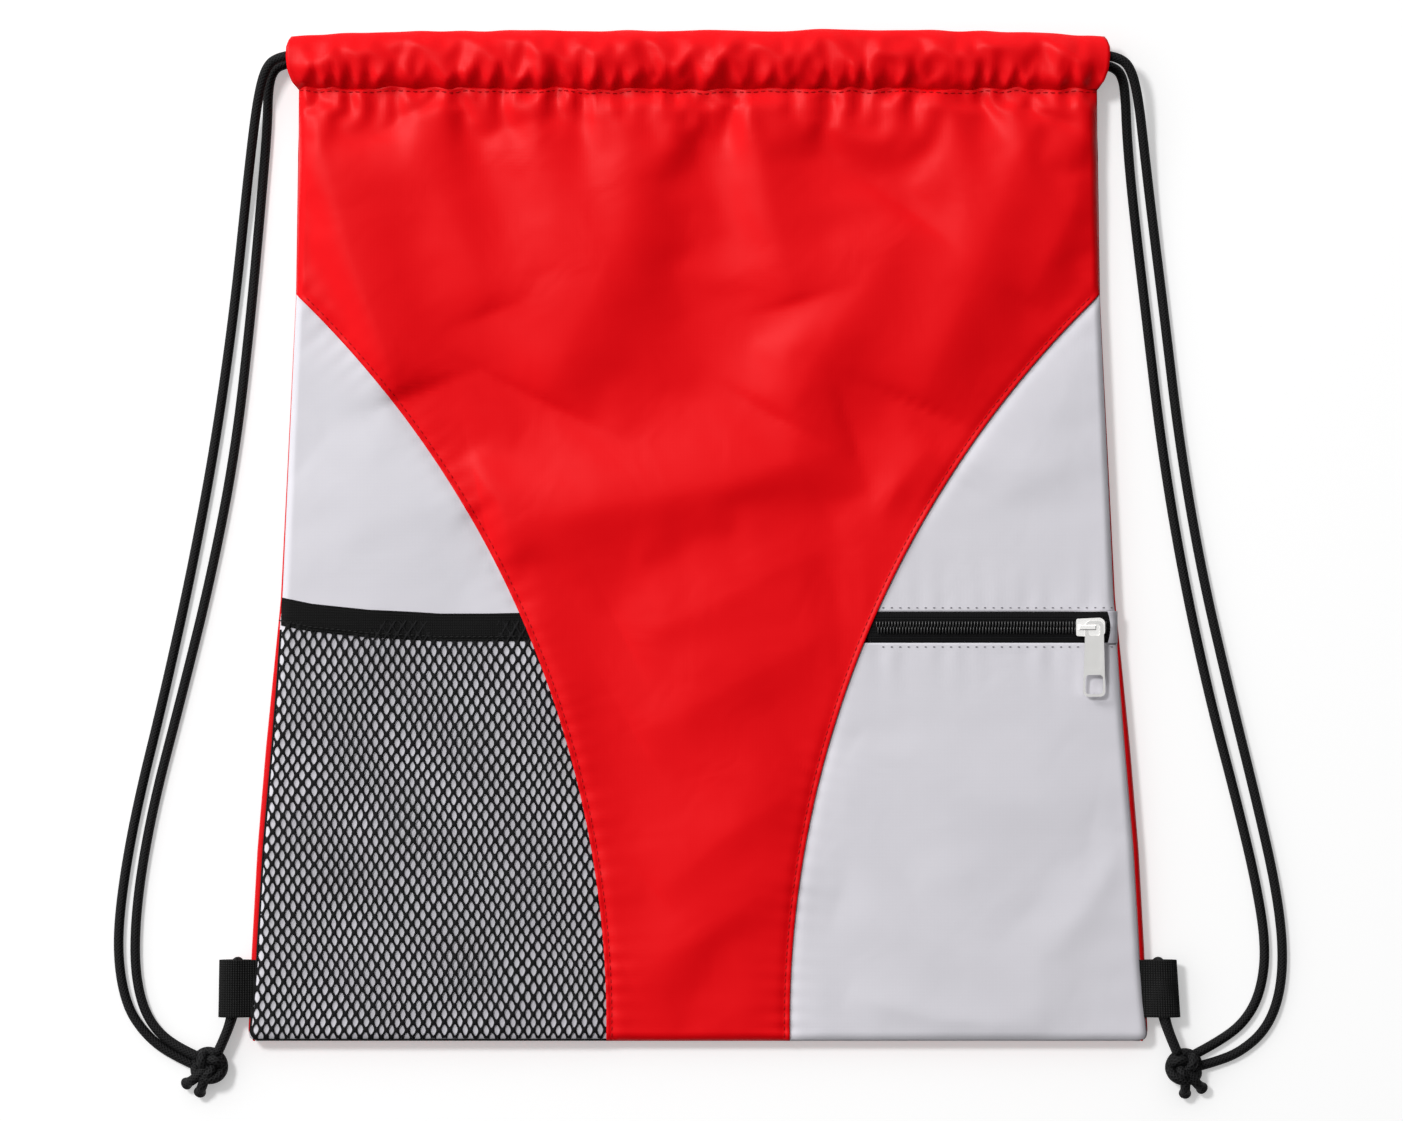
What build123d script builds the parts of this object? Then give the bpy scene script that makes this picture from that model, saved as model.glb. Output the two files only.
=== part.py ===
from build123d import *
from math import radians, tan
import os

# A drawstring backpack that lies flat on its back: X across the bag, Y towards the mouth, Z up off the
# floor, in millimetres. The origin is under the middle of the bag, on the floor.

os.makedirs("parts", exist_ok=True)

# ---- driving dimensions: the bag ----
bag_length = 432  # bottom edge to the top of the casing
mouth_width = 342  # body just below the casing
waist_width = 343.6  # body where the side panels begin
hip_width = 357  # body just above the zip
seat_width = 374  # body half-way down the pockets
bottom_width = 384  # bottom edge
waist_y = 100
hip_y = -27
seat_y = -120
corner_cut = 3  # bevel at the bottom corners
cloth = 0.6  # modelled thickness of the woven polyester
compartment_height = 10  # inside height of the empty bag
floor_inset = 5  # how far the back lies inside the outline
rim_inset = 1.2  # how far the front lies inside the outline
side_bulge_low = 4.6  # height at which the side is widest
side_close_height = 1.2  # over which the side closes in under the front

# ---- driving dimensions: hourglass seams ----
seam_radius = 431.3
seam_centre_x = 469.8
seam_centre_y = -208
seam_gap = 0.1

# ---- driving dimensions: casing and drawcord ----
casing_depth = 25  # along Y
casing_height = 5.6
casing_width = 350
casing_corner = 2.5  # rounding of the folded edges
casing_end_cut = 3.5  # bevel at the ends
end_slit = 8  # opening on the inner side, where the cord turns back
cord_diameter = 4.2
cord_gap = 0.4  # between the two cords in the casing, and round the cord in a tab
turn_radius = 5.2  # of the cord where it passes from front to back

# ---- driving dimensions: zip ----
zip_y = -39
zip_band = 13.3  # width of tape that shows
zip_start_x = 77
tape_width = 12.5
chain_gap = 1.2  # between the two rows of teeth
coil_width = 2.1
coil_height = 1.8
end_tab_length = 4.1
lining_rise = 4.6  # clear height below the zip pocket's lining
lining_inset = 2.2
lining_seam_margin = 1
fit_gap = 0.1  # between sewn pieces that only meet at a seam
slider_length = 12.3
slider_width = 8.5
slider_tail_width = 7.3
slider_plate = 1.2
slider_clearance = 0.3
slider_end_gap = 0.85
flange = 0.8
post_length = 3
lug_leg = (1.4, 2.2)
lug_span = 6
lug_bar = 1
lug_clear_height = 2.3
puller_length = 32.4
puller_eye_width = 7.7
puller_end_width = 9.5
puller_thickness = 1.2
puller_tilt = 3.3  # degrees, so that the far end comes down to the cloth
puller_lift = 1.2  # middle of the eye above the slider
puller_eye_hole = 5
puller_hole = (7.5, 8.2)

# ---- driving dimensions: mesh pocket ----
pocket_top_y = -33
pocket_edge_rise = 8  # the binding climbs this much at the bag's edge
pocket_seam_rise = 1  # and this much at the seam
pocket_gap = 5.4  # inside height of the pocket
mesh = 0.8
pocket_inset = 2
binding_width = 12
binding_cloth = 0.6

# ---- driving dimensions: webbing tabs and knots ----
webbing = 1.2
tab_top_y = -181
tab_length = 24.5
tab_reach = 14  # how far a tab stands out from the side
tab_loop_reach = 3
knot_radius = 8.5
knot_height = 11
stitch_width = 0.5
stitch_height = 0.3
seam_stitch_offset = 2
zip_stitch_offset = 1.7
casing_stitch_offset = 1.5
binding_stitch_offset = 2

# ---- places worked out from them ----
top_y = bag_length / 2
bottom_y = -bag_length / 2
body_top_y = top_y - casing_depth
panel_z = cloth + compartment_height
skin_z = panel_z + cloth
tape_z = panel_z - cloth
coil_z = panel_z
lining_z = cloth + lining_rise
lining_top_y = zip_y + tape_width + lining_inset - rim_inset
loop_height = cord_diameter + cord_gap + 2 * webbing
tab_level = cord_diameter + cord_gap / 2 + loop_height / 2  # the cord passes back under the tab
band_top_y = zip_y + zip_band / 2
band_bottom_y = zip_y - zip_band / 2
beyond = 20  # how far cutting tools run past what they cut


def outline(inset, top=body_top_y):
    """Corners of the bag's plan, moved inwards by inset, from the mouth round the bottom and back."""
    right = [
        (mouth_width / 2 - inset, top),
        (waist_width / 2 - inset, waist_y),
        (hip_width / 2 - inset, hip_y),
        (seat_width / 2 - inset, seat_y),
        (bottom_width / 2 - inset, bottom_y + corner_cut + inset),
        (bottom_width / 2 - corner_cut - inset, bottom_y + inset),
    ]
    return right + [(-x, y) for x, y in reversed(right)]


def edge_x(y):
    """Half of the bag's width at a height on the bag."""
    corners = outline(0)[:5]
    for (upper_x, upper_y), (lower_x, lower_y) in zip(corners, corners[1:]):
        if y >= lower_y:
            return upper_x + (lower_x - upper_x) * (upper_y - y) / (upper_y - lower_y)
    return lower_x


def side_ground(side, inset, seam_margin=seam_gap):
    """Sketch of the ground between one hourglass seam and the bag's edge. side is 1 or -1."""
    Polygon(*outline(inset), align=None)
    with Locations((side * seam_centre_x, seam_centre_y)):
        Circle(seam_radius - seam_margin, mode=Mode.INTERSECT)


def keep_band(low_y, high_y):
    """Keeps what a sketch has between two heights on the bag."""
    with Locations((0, (low_y + high_y) / 2)):
        Rectangle(2 * bottom_width, high_y - low_y, mode=Mode.INTERSECT)


def save(piece, name):
    piece.part.label = name
    export_step(piece.part, "parts/" + name + ".step")


# ---- back panel: a shallow tray whose sides bulge out and close in again under the front ----
side_bulge_high = panel_z - side_close_height
side_levels = [(0, floor_inset), (side_bulge_low, 0), (side_bulge_high, 0), (panel_z, rim_inset)]
inner_levels = [(cloth, floor_inset)] + side_levels[1:]
with BuildPart() as back_panel:
    for low, high in zip(side_levels, side_levels[1:]):
        for level, inset in (low, high):
            with BuildSketch(Plane.XY.offset(level)):
                Polygon(*outline(inset), align=None)
        loft(ruled=True)
    for low, high in zip(inner_levels, inner_levels[1:]):
        for level, inset in (low, high):
            with BuildSketch(Plane.XY.offset(level)):
                Polygon(*outline(inset + cloth, top=body_top_y + beyond), align=None)
        loft(ruled=True, mode=Mode.SUBTRACT)
save(back_panel, "back_panel")

# ---- front panels ----
with BuildPart() as front_center_panel:
    with BuildSketch(Plane.XY.offset(panel_z)):
        Polygon(*outline(rim_inset), align=None)
        with Locations((seam_centre_x, seam_centre_y), (-seam_centre_x, seam_centre_y)):
            Circle(seam_radius, mode=Mode.SUBTRACT)
    extrude(amount=cloth)
save(front_center_panel, "front_center_panel")

with BuildPart() as front_side_panel_left:
    with BuildSketch(Plane.XY.offset(panel_z)):
        side_ground(-1, rim_inset)
    extrude(amount=cloth)
save(front_side_panel_left, "front_side_panel_left")

with BuildPart() as front_side_panel_right:
    with BuildSketch(Plane.XY.offset(panel_z)):
        side_ground(1, rim_inset)
        keep_band(band_top_y, top_y)
    extrude(amount=cloth)
save(front_side_panel_right, "front_side_panel_right")

with BuildPart() as zip_pocket_face:
    with BuildSketch(Plane.XY.offset(panel_z)):
        side_ground(1, rim_inset)
        keep_band(bottom_y, band_bottom_y)
    extrude(amount=cloth)
save(zip_pocket_face, "zip_pocket_face")

# ---- zip pocket lining: hangs under the lower right panel and is sewn to it all round ----
with BuildPart() as zip_pocket_lining:
    with BuildSketch(Plane.XY.offset(lining_z)):
        side_ground(1, lining_inset, lining_seam_margin)
        keep_band(bottom_y, lining_top_y)
    extrude(amount=panel_z - lining_z)
    with BuildSketch(Plane.XY.offset(lining_z + cloth)):
        side_ground(1, lining_inset + cloth, lining_seam_margin + cloth)
        keep_band(bottom_y, lining_top_y - cloth)
    extrude(amount=panel_z - lining_z, mode=Mode.SUBTRACT)
save(zip_pocket_lining, "zip_pocket_lining")

# ---- zip tapes, under the edges of the two grey panels ----
tape_inset = lining_inset + cloth + fit_gap
tape_bands = {
    "zipper_tape_upper": (zip_y + chain_gap / 2, zip_y + tape_width),
    "zipper_tape_lower": (zip_y - tape_width, zip_y - chain_gap / 2),
}
for name, (low_y, high_y) in tape_bands.items():
    with BuildPart() as tape:
        with BuildSketch(Plane.XY.offset(tape_z)):
            side_ground(1, tape_inset, lining_seam_margin + cloth + fit_gap)
            keep_band(low_y, high_y)
        extrude(amount=cloth)
    save(tape, name)

# ---- end tab: a scrap of the grey cloth over the closed end of the zip ----
end_tab_x = edge_x(zip_y) - rim_inset - end_tab_length
with BuildPart() as zipper_end_tab:
    with BuildSketch(Plane.XY.offset(panel_z)):
        side_ground(1, rim_inset)
        keep_band(band_bottom_y + fit_gap, band_top_y - fit_gap)
        with Locations((end_tab_x, zip_y)):
            Rectangle(beyond, bag_length, align=(Align.MIN, Align.CENTER), mode=Mode.INTERSECT)
    extrude(amount=cloth)
save(zipper_end_tab, "zipper_end_tab")

# ---- zip teeth: two coils, with room between them for the slider's post ----
coil_end_x = end_tab_x - fit_gap
coil_offset = (chain_gap + coil_width) / 2
for name, side in {"zipper_coil_upper": 1, "zipper_coil_lower": -1}.items():
    with BuildPart() as coil:
        with BuildSketch(Plane.YZ.offset(zip_start_x)):
            with Locations((zip_y + side * coil_offset, coil_z)):
                Rectangle(coil_width, coil_height, align=(Align.CENTER, Align.MIN))
            fillet(vertices().group_by(Axis.Z)[-1], coil_width / 3)
        extrude(amount=coil_end_x - zip_start_x)
    save(coil, name)

# ---- zip slider: two plates round the teeth, joined by a post at the front, with a lug on top ----
slider_x = end_tab_x - slider_end_gap - slider_length / 2
top_plate_z = coil_z + coil_height + slider_clearance - 0.1
lug_z = top_plate_z + slider_plate
bottom_plate_z = tape_z - slider_clearance - slider_plate
pivot_x = slider_x + 1.5
lug_bar_z = lug_z + lug_clear_height
inner_half = slider_width / 2 - flange


def slider_plan():
    """Plate outline: square behind, where the closed teeth leave it, and rounded in front."""
    back_x = slider_x - slider_length / 2
    front_x = slider_x + slider_length / 2
    corners = [
        (back_x, zip_y - slider_tail_width / 2),
        (front_x, zip_y - slider_width / 2),
        (front_x, zip_y + slider_width / 2),
        (back_x, zip_y + slider_tail_width / 2),
    ]
    Polygon(*corners, align=None)
    fillet(vertices().group_by(Axis.X)[0], 0.8)
    fillet(vertices().group_by(Axis.X)[-1], 2.6)


with BuildPart() as zip_slider:
    with BuildSketch(Plane.XY.offset(bottom_plate_z)):
        slider_plan()
    extrude(amount=slider_plate)
    with BuildSketch(Plane.XY.offset(top_plate_z)):
        slider_plan()
    extrude(amount=slider_plate)
    flange_z = skin_z - cloth + slider_clearance
    with BuildSketch(Plane.XY.offset(flange_z)):
        slider_plan()
        with Locations((slider_x, zip_y)):
            Rectangle(slider_length + beyond, 2 * (inner_half - 0.2), mode=Mode.SUBTRACT)
        with Locations((slider_x + slider_length / 2, zip_y)):
            Rectangle(2 * 3, slider_width, mode=Mode.SUBTRACT)
    extrude(amount=top_plate_z - flange_z)
    with BuildSketch(Plane.XY.offset(bottom_plate_z)):
        with Locations((slider_x + slider_length / 2 - post_length, zip_y)):
            Rectangle(post_length, chain_gap - 2 * slider_clearance)
    extrude(amount=lug_z - bottom_plate_z)
    with BuildSketch(Plane.XY.offset(lug_z)):
        with Locations((pivot_x, zip_y), (pivot_x - lug_span, zip_y)):
            Rectangle(*lug_leg)
    extrude(amount=lug_clear_height)
    with BuildSketch(Plane.XY.offset(lug_bar_z)):
        with Locations((pivot_x - lug_span / 2, zip_y)):
            Rectangle(lug_span + lug_leg[0], lug_leg[1])
    extrude(amount=lug_bar)
    fillet(zip_slider.edges().group_by(Axis.Z)[-1], 0.4)
save(zip_slider, "zip_slider")

# ---- zip puller: a flat plate whose eye goes round the lug's front leg ----
eye_back = puller_eye_hole / 2 - 1
eye_wall = (puller_eye_width - puller_eye_hole) / 2
puller_tail = puller_length - eye_back - eye_wall
puller_plane = Plane(
    origin=(pivot_x, zip_y, lug_z + puller_lift),
    x_dir=(1, 0, 0),
    z_dir=Vector(0, 0, 1).rotate(Axis.X, puller_tilt),
)
recess_depth = 0.25
with BuildPart() as zip_puller:
    with BuildSketch(puller_plane.offset(-puller_thickness / 2)):
        plan = [
            (-puller_eye_width / 2, eye_back + eye_wall),
            (puller_eye_width / 2, eye_back + eye_wall),
            (puller_end_width / 2, -puller_tail),
            (-puller_end_width / 2, -puller_tail),
        ]
        Polygon(*plan, align=None)
        fillet(vertices().group_by(Axis.Y)[-1], 2.6)
        fillet(vertices().group_by(Axis.Y)[0], 2.2)
        with Locations((0, eye_back - puller_eye_hole / 2)):
            RectangleRounded(puller_eye_hole, puller_eye_hole, 1.2, mode=Mode.SUBTRACT)
        with Locations((0, -puller_tail + 1.1 + puller_hole[1] / 2)):
            RectangleRounded(*puller_hole, 1.6, mode=Mode.SUBTRACT)
    extrude(amount=puller_thickness)
    recess_low = -puller_tail + puller_hole[1] + 3.5
    recess_high = eye_back - puller_eye_hole - 2
    with BuildSketch(puller_plane.offset(puller_thickness / 2 - recess_depth)):
        with Locations((0, (recess_low + recess_high) / 2)):
            RectangleRounded(puller_eye_width - 2, recess_high - recess_low, 1, mode=Mode.ADD)
    extrude(amount=recess_depth, mode=Mode.SUBTRACT)
save(zip_puller, "zip_puller")

# ---- casings: the folded tops of the front and the back, which the drawcord runs through ----
for name, base_z in {"casing_front": panel_z, "casing_back": 0}.items():
    inner_wall_z = base_z if name == "casing_front" else base_z + casing_height - cloth
    with BuildPart() as casing:
        with BuildSketch(Plane.YZ.offset(-casing_width / 2)):
            with Locations((body_top_y + casing_depth / 2, base_z + casing_height / 2)):
                Rectangle(casing_depth, casing_height)
            sewn_corner = vertices().sort_by(Axis.Y)[:2].sort_by(Axis.Z)[0]
            fillet([corner for corner in vertices() if corner != sewn_corner], casing_corner)
            offset(amount=-cloth, mode=Mode.SUBTRACT)
        extrude(amount=casing_width)
        with BuildSketch(Plane.XY.offset(base_z)):
            with Locations((0, body_top_y + casing_depth / 2)):
                Rectangle(casing_width, casing_depth)
            chamfer(vertices(), casing_end_cut)
        extrude(amount=casing_height, mode=Mode.INTERSECT)
        with BuildSketch(Plane.XY.offset(inner_wall_z)):
            with Locations(
                (casing_width / 2, body_top_y + casing_depth / 2),
                (-casing_width / 2, body_top_y + casing_depth / 2),
            ):
                Rectangle(2 * end_slit, casing_depth / 2 + cord_diameter / 2, mode=Mode.ADD)
        extrude(amount=cloth, mode=Mode.SUBTRACT)
    save(casing, name)


# ---- drawcord ----
def corner_radii(route):
    """An arc at each corner as large as its two runs allow."""
    radii = []
    for before, corner, after in zip(route, route[1:], route[2:]):
        arriving = Vector(*corner) - Vector(*before)
        leaving = Vector(*after) - Vector(*corner)
        half_turn = radians(arriving.get_angle(leaving)) / 2
        radii.append(0.45 * min(arriving.length, leaving.length) / tan(half_turn))
    return radii


cord_radius = cord_diameter / 2
casing_mid_y = body_top_y + casing_depth / 2
left_cord_y = casing_mid_y + (cord_diameter + cord_gap) / 2
right_cord_y = casing_mid_y - (cord_diameter + cord_gap) / 2
front_cord_z = panel_z + casing_height / 2
back_cord_z = casing_height / 2
exit_x = casing_width / 2
turn_x = exit_x - 0.5 - cord_radius

# Each cord enters the front casing at its own side, turns back at the far side and leaves by the back.
for name, side, cord_y in (
    ("drawcord_left_tunnel", -1, left_cord_y),
    ("drawcord_right_tunnel", 1, right_cord_y),
):
    with BuildPart() as tunnel:
        with BuildLine() as path:
            FilletPolyline(
                (side * exit_x, cord_y, front_cord_z),
                (-side * turn_x, cord_y, front_cord_z),
                (-side * turn_x, cord_y, back_cord_z),
                (side * exit_x, cord_y, back_cord_z),
                radius=turn_radius,
            )
        with BuildSketch(Plane(origin=path.line @ 0, z_dir=path.line % 0)):
            Circle(cord_radius)
        sweep()
    save(tunnel, name)

# The free cords lie on the floor from the casing's ends down to the knots, one layer deep.
low = cord_radius
free_routes = {
    "drawcord_left_outer": [
        (-175, 205.8, 13.4), (-180.2, 204.6, 13.3), (-184.4, 199.4, 12.6), (-187.4, 188.5, 10.4),
        (-190.2, 171, 6.6), (-193.6, 143, 2.9), (-198.4, 97, low), (-206.3, 41, low),
        (-216.5, -14, low), (-228.5, -68.5, low), (-240.2, -116, low), (-246.6, -152, low),
        (-248.6, -178, low), (-245.2, -199.5, low), (-237.8, -212, low), (-226.5, -221.6, low),
        (-213.5, -227.2, 2.6),
    ],
    "drawcord_left_inner": [
        (-175, 205.8, 2.8), (-179.6, 204.6, 2.7), (-182.8, 200.2, 2.5), (-184, 191, 2.2),
        (-184.3, 175, low), (-186.8, 145, low), (-191.5, 93, low), (-198, 36, low),
        (-208.5, -18, low), (-221.4, -70, low), (-232.9, -114, low), (-239.4, -150, low),
        (-241.4, -178, low), (-239.2, -197, low), (-232.8, -209.3, low), (-223.2, -217.2, low),
        (-212.5, -221.3, 2.6),
    ],
    "drawcord_right_outer": [
        (175, 201.2, 13.4), (180.4, 200.6, 13.3), (185, 195.6, 12.5), (187.9, 184.6, 10.2),
        (190.2, 168, 6.6), (193.8, 140, 2.9), (199.5, 95, low), (206, 40, low),
        (215.2, -14, low), (227.5, -67, low), (239.8, -116.5, low), (247.6, -151.5, low),
        (250.6, -177.5, low), (249, -197, low), (243, -211.5, low), (232, -221, low),
        (220.5, -225.4, low), (211.5, -227.6, 2.6),
    ],
    "drawcord_right_inner": [
        (175, 201.2, 2.8), (179, 200.2, 2.7), (182, 195.4, 2.4), (183, 186.5, 2.2),
        (183.6, 171, low), (186, 143, low), (191.8, 94, low), (198.4, 38, low),
        (207.2, -15, low), (218.6, -68, low), (231.2, -116, low), (239.2, -150, low),
        (243.2, -176.5, low), (240.8, -195.5, low), (234, -208, low), (223.4, -216.2, low),
        (212.4, -221.9, 2.6),
    ],
    # A short bight of the same cord: out of the knot, up through the webbing tab and back under it.
    "tab_loop_left": [
        (-205.6, -221.5, 7.6), (-201.2, -212.5, tab_level), (-198.8, -203, tab_level), (-198.5, -192, tab_level),
        (-198.4, -178, tab_level), (-192.3, -178, 2.2), (-192.6, -188, 2.2), (-196.4, -200, 2.2),
        (-201, -211.5, 2.2), (-205.6, -221.5, 2.5),
    ],
    "tab_loop_right": [
        (205.2, -221.5, 7.6), (201.2, -212.5, tab_level), (198.9, -203, tab_level), (198.5, -192, tab_level),
        (198.4, -178, tab_level), (192.3, -178, 2.2), (192.6, -188, 2.2), (196.4, -200, 2.2),
        (200.8, -211.5, 2.2), (205.2, -221.5, 2.5),
    ],
}
for name, route in free_routes.items():
    radii = corner_radii(route)
    with BuildPart() as strand:
        with BuildLine() as path:
            FilletPolyline(*route, radius=radii)
        with BuildSketch(Plane(origin=path.line @ 0, z_dir=path.line % 0)):
            Circle(cord_radius)
        sweep()
    save(strand, name)
    length = path.wire().length
    expected = length * Circle(cord_radius, mode=Mode.PRIVATE).area
    print(name, "length", round(length, 1), "volume / section x length",
          round(strand.part.volume / expected, 4), "radii", [round(radius, 1) for radius in radii])

# ---- knots: each ties both ends of its cord round the bight, with two short tails ----
knots = {
    "knot_left": ((-209.2, -226.7), [(-220.6, -234.6), (-213.6, -239)]),
    "knot_right": ((208, -227.2), [(208.4, -240), (216, -237)]),
}
for name, (centre, tail_ends) in knots.items():
    middle = Vector(centre[0], centre[1], knot_height / 2)
    with BuildPart() as knot:
        with BuildSketch(Plane(origin=middle, x_dir=(1, 0, 0), z_dir=(0, -1, 0))):
            SlotOverall(2 * knot_radius, knot_height)
            Rectangle(knot_radius, knot_height, align=(Align.MAX, Align.CENTER), mode=Mode.SUBTRACT)
        revolve(axis=Axis(middle, (0, 0, 1)))
        for tail_end in tail_ends:
            tip = Vector(tail_end[0], tail_end[1], cord_radius)
            root = Vector(centre[0], centre[1], cord_radius + 1)
            with BuildSketch(Plane(origin=tip, z_dir=root - tip)):
                Circle(cord_radius)
            extrude(amount=(root - tip).length)
    save(knot, name)

# ---- webbing tabs: a strip folded round the cord and sewn into the side seam ----
tab_root_x = edge_x(tab_top_y - tab_length / 2)
loop_x = tab_root_x + tab_reach - loop_height / 2 - tab_loop_reach / 2
for name, side in {"webbing_tab_left": -1, "webbing_tab_right": 1}.items():
    with BuildPart() as tab:
        with BuildSketch(Plane.XZ.offset(-tab_top_y)):
            with Locations((side * (tab_root_x - webbing + loop_x) / 2, tab_level)):
                Rectangle(loop_x - tab_root_x + webbing, 2 * webbing)
            with Locations((side * loop_x, tab_level)):
                SlotCenterToCenter(tab_loop_reach, loop_height)
                SlotCenterToCenter(tab_loop_reach, loop_height - 2 * webbing, mode=Mode.SUBTRACT)
        extrude(amount=tab_length)
        with BuildSketch(Plane.XY):
            Polygon(*outline(0), align=None)
        extrude(amount=2 * panel_z, mode=Mode.SUBTRACT)
    save(tab, name)

# ---- mesh pocket: open at the top, sewn down along the seam, the edge and the bottom ----
mesh_z = skin_z + pocket_gap
binding_sag_x = -118  # where the binding hangs lowest
binding_seam_x = -60


def under_pocket_edge(drop):
    """Keeps what a sketch has below the pocket's sagging top edge, lowered by drop."""
    with BuildLine() as edge:
        sag = ThreePointArc(
            (-bottom_width / 2, pocket_top_y + pocket_edge_rise - drop),
            (binding_sag_x, pocket_top_y - drop),
            (binding_seam_x, pocket_top_y + pocket_seam_rise - drop),
        )
        Polyline(sag @ 1, (0, pocket_top_y - drop), (0, 2 * bottom_y), (-bottom_width, 2 * bottom_y),
                 (-bottom_width, pocket_top_y - drop), sag @ 0)
    make_face(edge.edges(), mode=Mode.INTERSECT)


with BuildPart() as mesh_pocket:
    with BuildSketch(Plane.XY.offset(skin_z)):
        side_ground(-1, pocket_inset, fit_gap + cloth)
        under_pocket_edge(binding_cloth)
    extrude(amount=pocket_gap + mesh)
    with BuildSketch(Plane.XY.offset(skin_z)):
        side_ground(-1, pocket_inset + mesh, fit_gap + cloth + mesh)
    extrude(amount=pocket_gap, mode=Mode.SUBTRACT)
save(mesh_pocket, "mesh_pocket")

with BuildPart() as mesh_pocket_binding:
    with BuildSketch(Plane.XY.offset(mesh_z + mesh)):
        side_ground(-1, pocket_inset, fit_gap + cloth)
        under_pocket_edge(0)
    extrude(amount=binding_cloth)
    with BuildSketch(Plane.XY.offset(mesh_z - binding_cloth)):
        side_ground(-1, pocket_inset + mesh + fit_gap, 2 * fit_gap + cloth + mesh)
        under_pocket_edge(0)
    extrude(amount=mesh + binding_cloth)
    with BuildSketch(Plane.XY.offset(mesh_z)):
        Polygon(*outline(0), align=None)
        under_pocket_edge(binding_cloth)
    extrude(amount=mesh, mode=Mode.SUBTRACT)
    with BuildSketch(Plane.XY.offset(mesh_z - binding_cloth)):
        Polygon(*outline(0), align=None)
        under_pocket_edge(binding_width)
    extrude(amount=mesh + 2 * binding_cloth, mode=Mode.SUBTRACT)
save(mesh_pocket_binding, "mesh_pocket_binding")

# ---- rows of stitching, one thread's height proud of the cloth ----
for name, side in {"stitch_seam_left": -1, "stitch_seam_right": 1}.items():
    with BuildPart() as stitches:
        with BuildSketch(Plane.XY.offset(skin_z)):
            with Locations((side * seam_centre_x, seam_centre_y)):
                Circle(seam_radius + seam_stitch_offset + stitch_width)
                Circle(seam_radius + seam_stitch_offset, mode=Mode.SUBTRACT)
            Polygon(*outline(rim_inset + stitch_width), align=None, mode=Mode.INTERSECT)
        extrude(amount=stitch_height)
    save(stitches, name)

for name, row_y in {
    "stitch_zip_upper": band_top_y + zip_stitch_offset,
    "stitch_zip_lower": band_bottom_y - zip_stitch_offset,
}.items():
    with BuildPart() as stitches:
        with BuildSketch(Plane.XY.offset(skin_z)):
            side_ground(1, rim_inset + stitch_width, seam_gap + stitch_width)
            keep_band(row_y - stitch_width / 2, row_y + stitch_width / 2)
        extrude(amount=stitch_height)
    save(stitches, name)

for name, level in {"stitch_casing_front": skin_z, "stitch_casing_back": cloth}.items():
    with BuildPart() as stitches:
        with BuildSketch(Plane.XY.offset(level)):
            Polygon(*outline(floor_inset + 2 * cloth), align=None)
            keep_band(body_top_y - casing_stitch_offset, body_top_y - casing_stitch_offset + stitch_width)
        extrude(amount=stitch_height)
    save(stitches, name)

with BuildPart() as stitch_binding:
    with BuildSketch(Plane.XY.offset(mesh_z + mesh + binding_cloth)):
        side_ground(-1, pocket_inset + stitch_width, fit_gap + cloth + stitch_width)
        under_pocket_edge(binding_width - binding_stitch_offset)
        with BuildSketch(mode=Mode.PRIVATE) as below:
            side_ground(-1, pocket_inset, fit_gap)
            under_pocket_edge(binding_width - binding_stitch_offset + stitch_width)
        add(below.sketch, mode=Mode.SUBTRACT)
    extrude(amount=stitch_height)
save(stitch_binding, "stitch_binding")

print("slide travel", round(slider_x - slider_length / 2 - zip_start_x, 2))
print("pivot", round(pivot_x, 3), zip_y, "slider", round(slider_x, 3), "end tab", round(end_tab_x, 3))
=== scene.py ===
"""A drawstring backpack with a mesh pocket and a zipped pocket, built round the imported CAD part.

Sizes are in millimetres until a mesh is made. X runs across the bag, Y up it, Z out of the floor.
"""

import math

import bpy
import numpy as np
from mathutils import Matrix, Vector
from mathutils.bvhtree import BVHTree


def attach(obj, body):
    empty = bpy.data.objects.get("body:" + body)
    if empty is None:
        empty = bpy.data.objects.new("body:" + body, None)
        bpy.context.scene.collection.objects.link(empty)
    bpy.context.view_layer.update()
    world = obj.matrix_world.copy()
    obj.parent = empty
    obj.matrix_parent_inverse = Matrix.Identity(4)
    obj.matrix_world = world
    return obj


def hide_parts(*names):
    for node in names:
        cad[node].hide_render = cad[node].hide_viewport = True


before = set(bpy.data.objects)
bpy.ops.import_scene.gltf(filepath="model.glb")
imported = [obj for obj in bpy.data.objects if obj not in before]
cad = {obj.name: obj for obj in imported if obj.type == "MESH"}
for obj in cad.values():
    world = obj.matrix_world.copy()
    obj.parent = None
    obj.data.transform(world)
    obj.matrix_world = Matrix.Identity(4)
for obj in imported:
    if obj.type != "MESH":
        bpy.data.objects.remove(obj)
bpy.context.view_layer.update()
scene = bpy.context.scene
MM = 0.001

# ---- the bag's plan ----
STITCH_Y = 191.0
CASING_TOP = 216.0
BOTTOM_Y = -215.6
HALF_WIDTH_Y = (-216, -177, -134, -91, -27, 101, 191)
HALF_WIDTH_X = (192.3, 190.7, 188.3, 184.7, 178.3, 171.8, 170.5)
CASING_END_SHARES = (0.0, 0.15, 0.35, 0.6, 0.8, 0.93, 1.0)
CASING_END_X = (170.6, 173.0, 174.7, 175.4, 175.3, 174.3, 173.2)
BACK_SHOWS_Y = (-216, -208, -196, -180, -90, -62, -36, 20, 100)
BACK_SHOWS_X = (0.25, 0.7, 1.5, 2.2, 2.4, 1.8, 0.9, 0.6, 0.3)
# Each side of the hourglass is an arc round a point beside the bag.
SEAM_CENTRE = (469.8, -208.0)
SEAM_RADIUS = 431.3
ZIP_Y = -39.0
ZIP_HALF_BAND = 6.65
# Heights of the sewn edges, and of the cloth that lies flat by the zip.
EDGE_Z = 8.4
CALM_Z = 10.75
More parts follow.
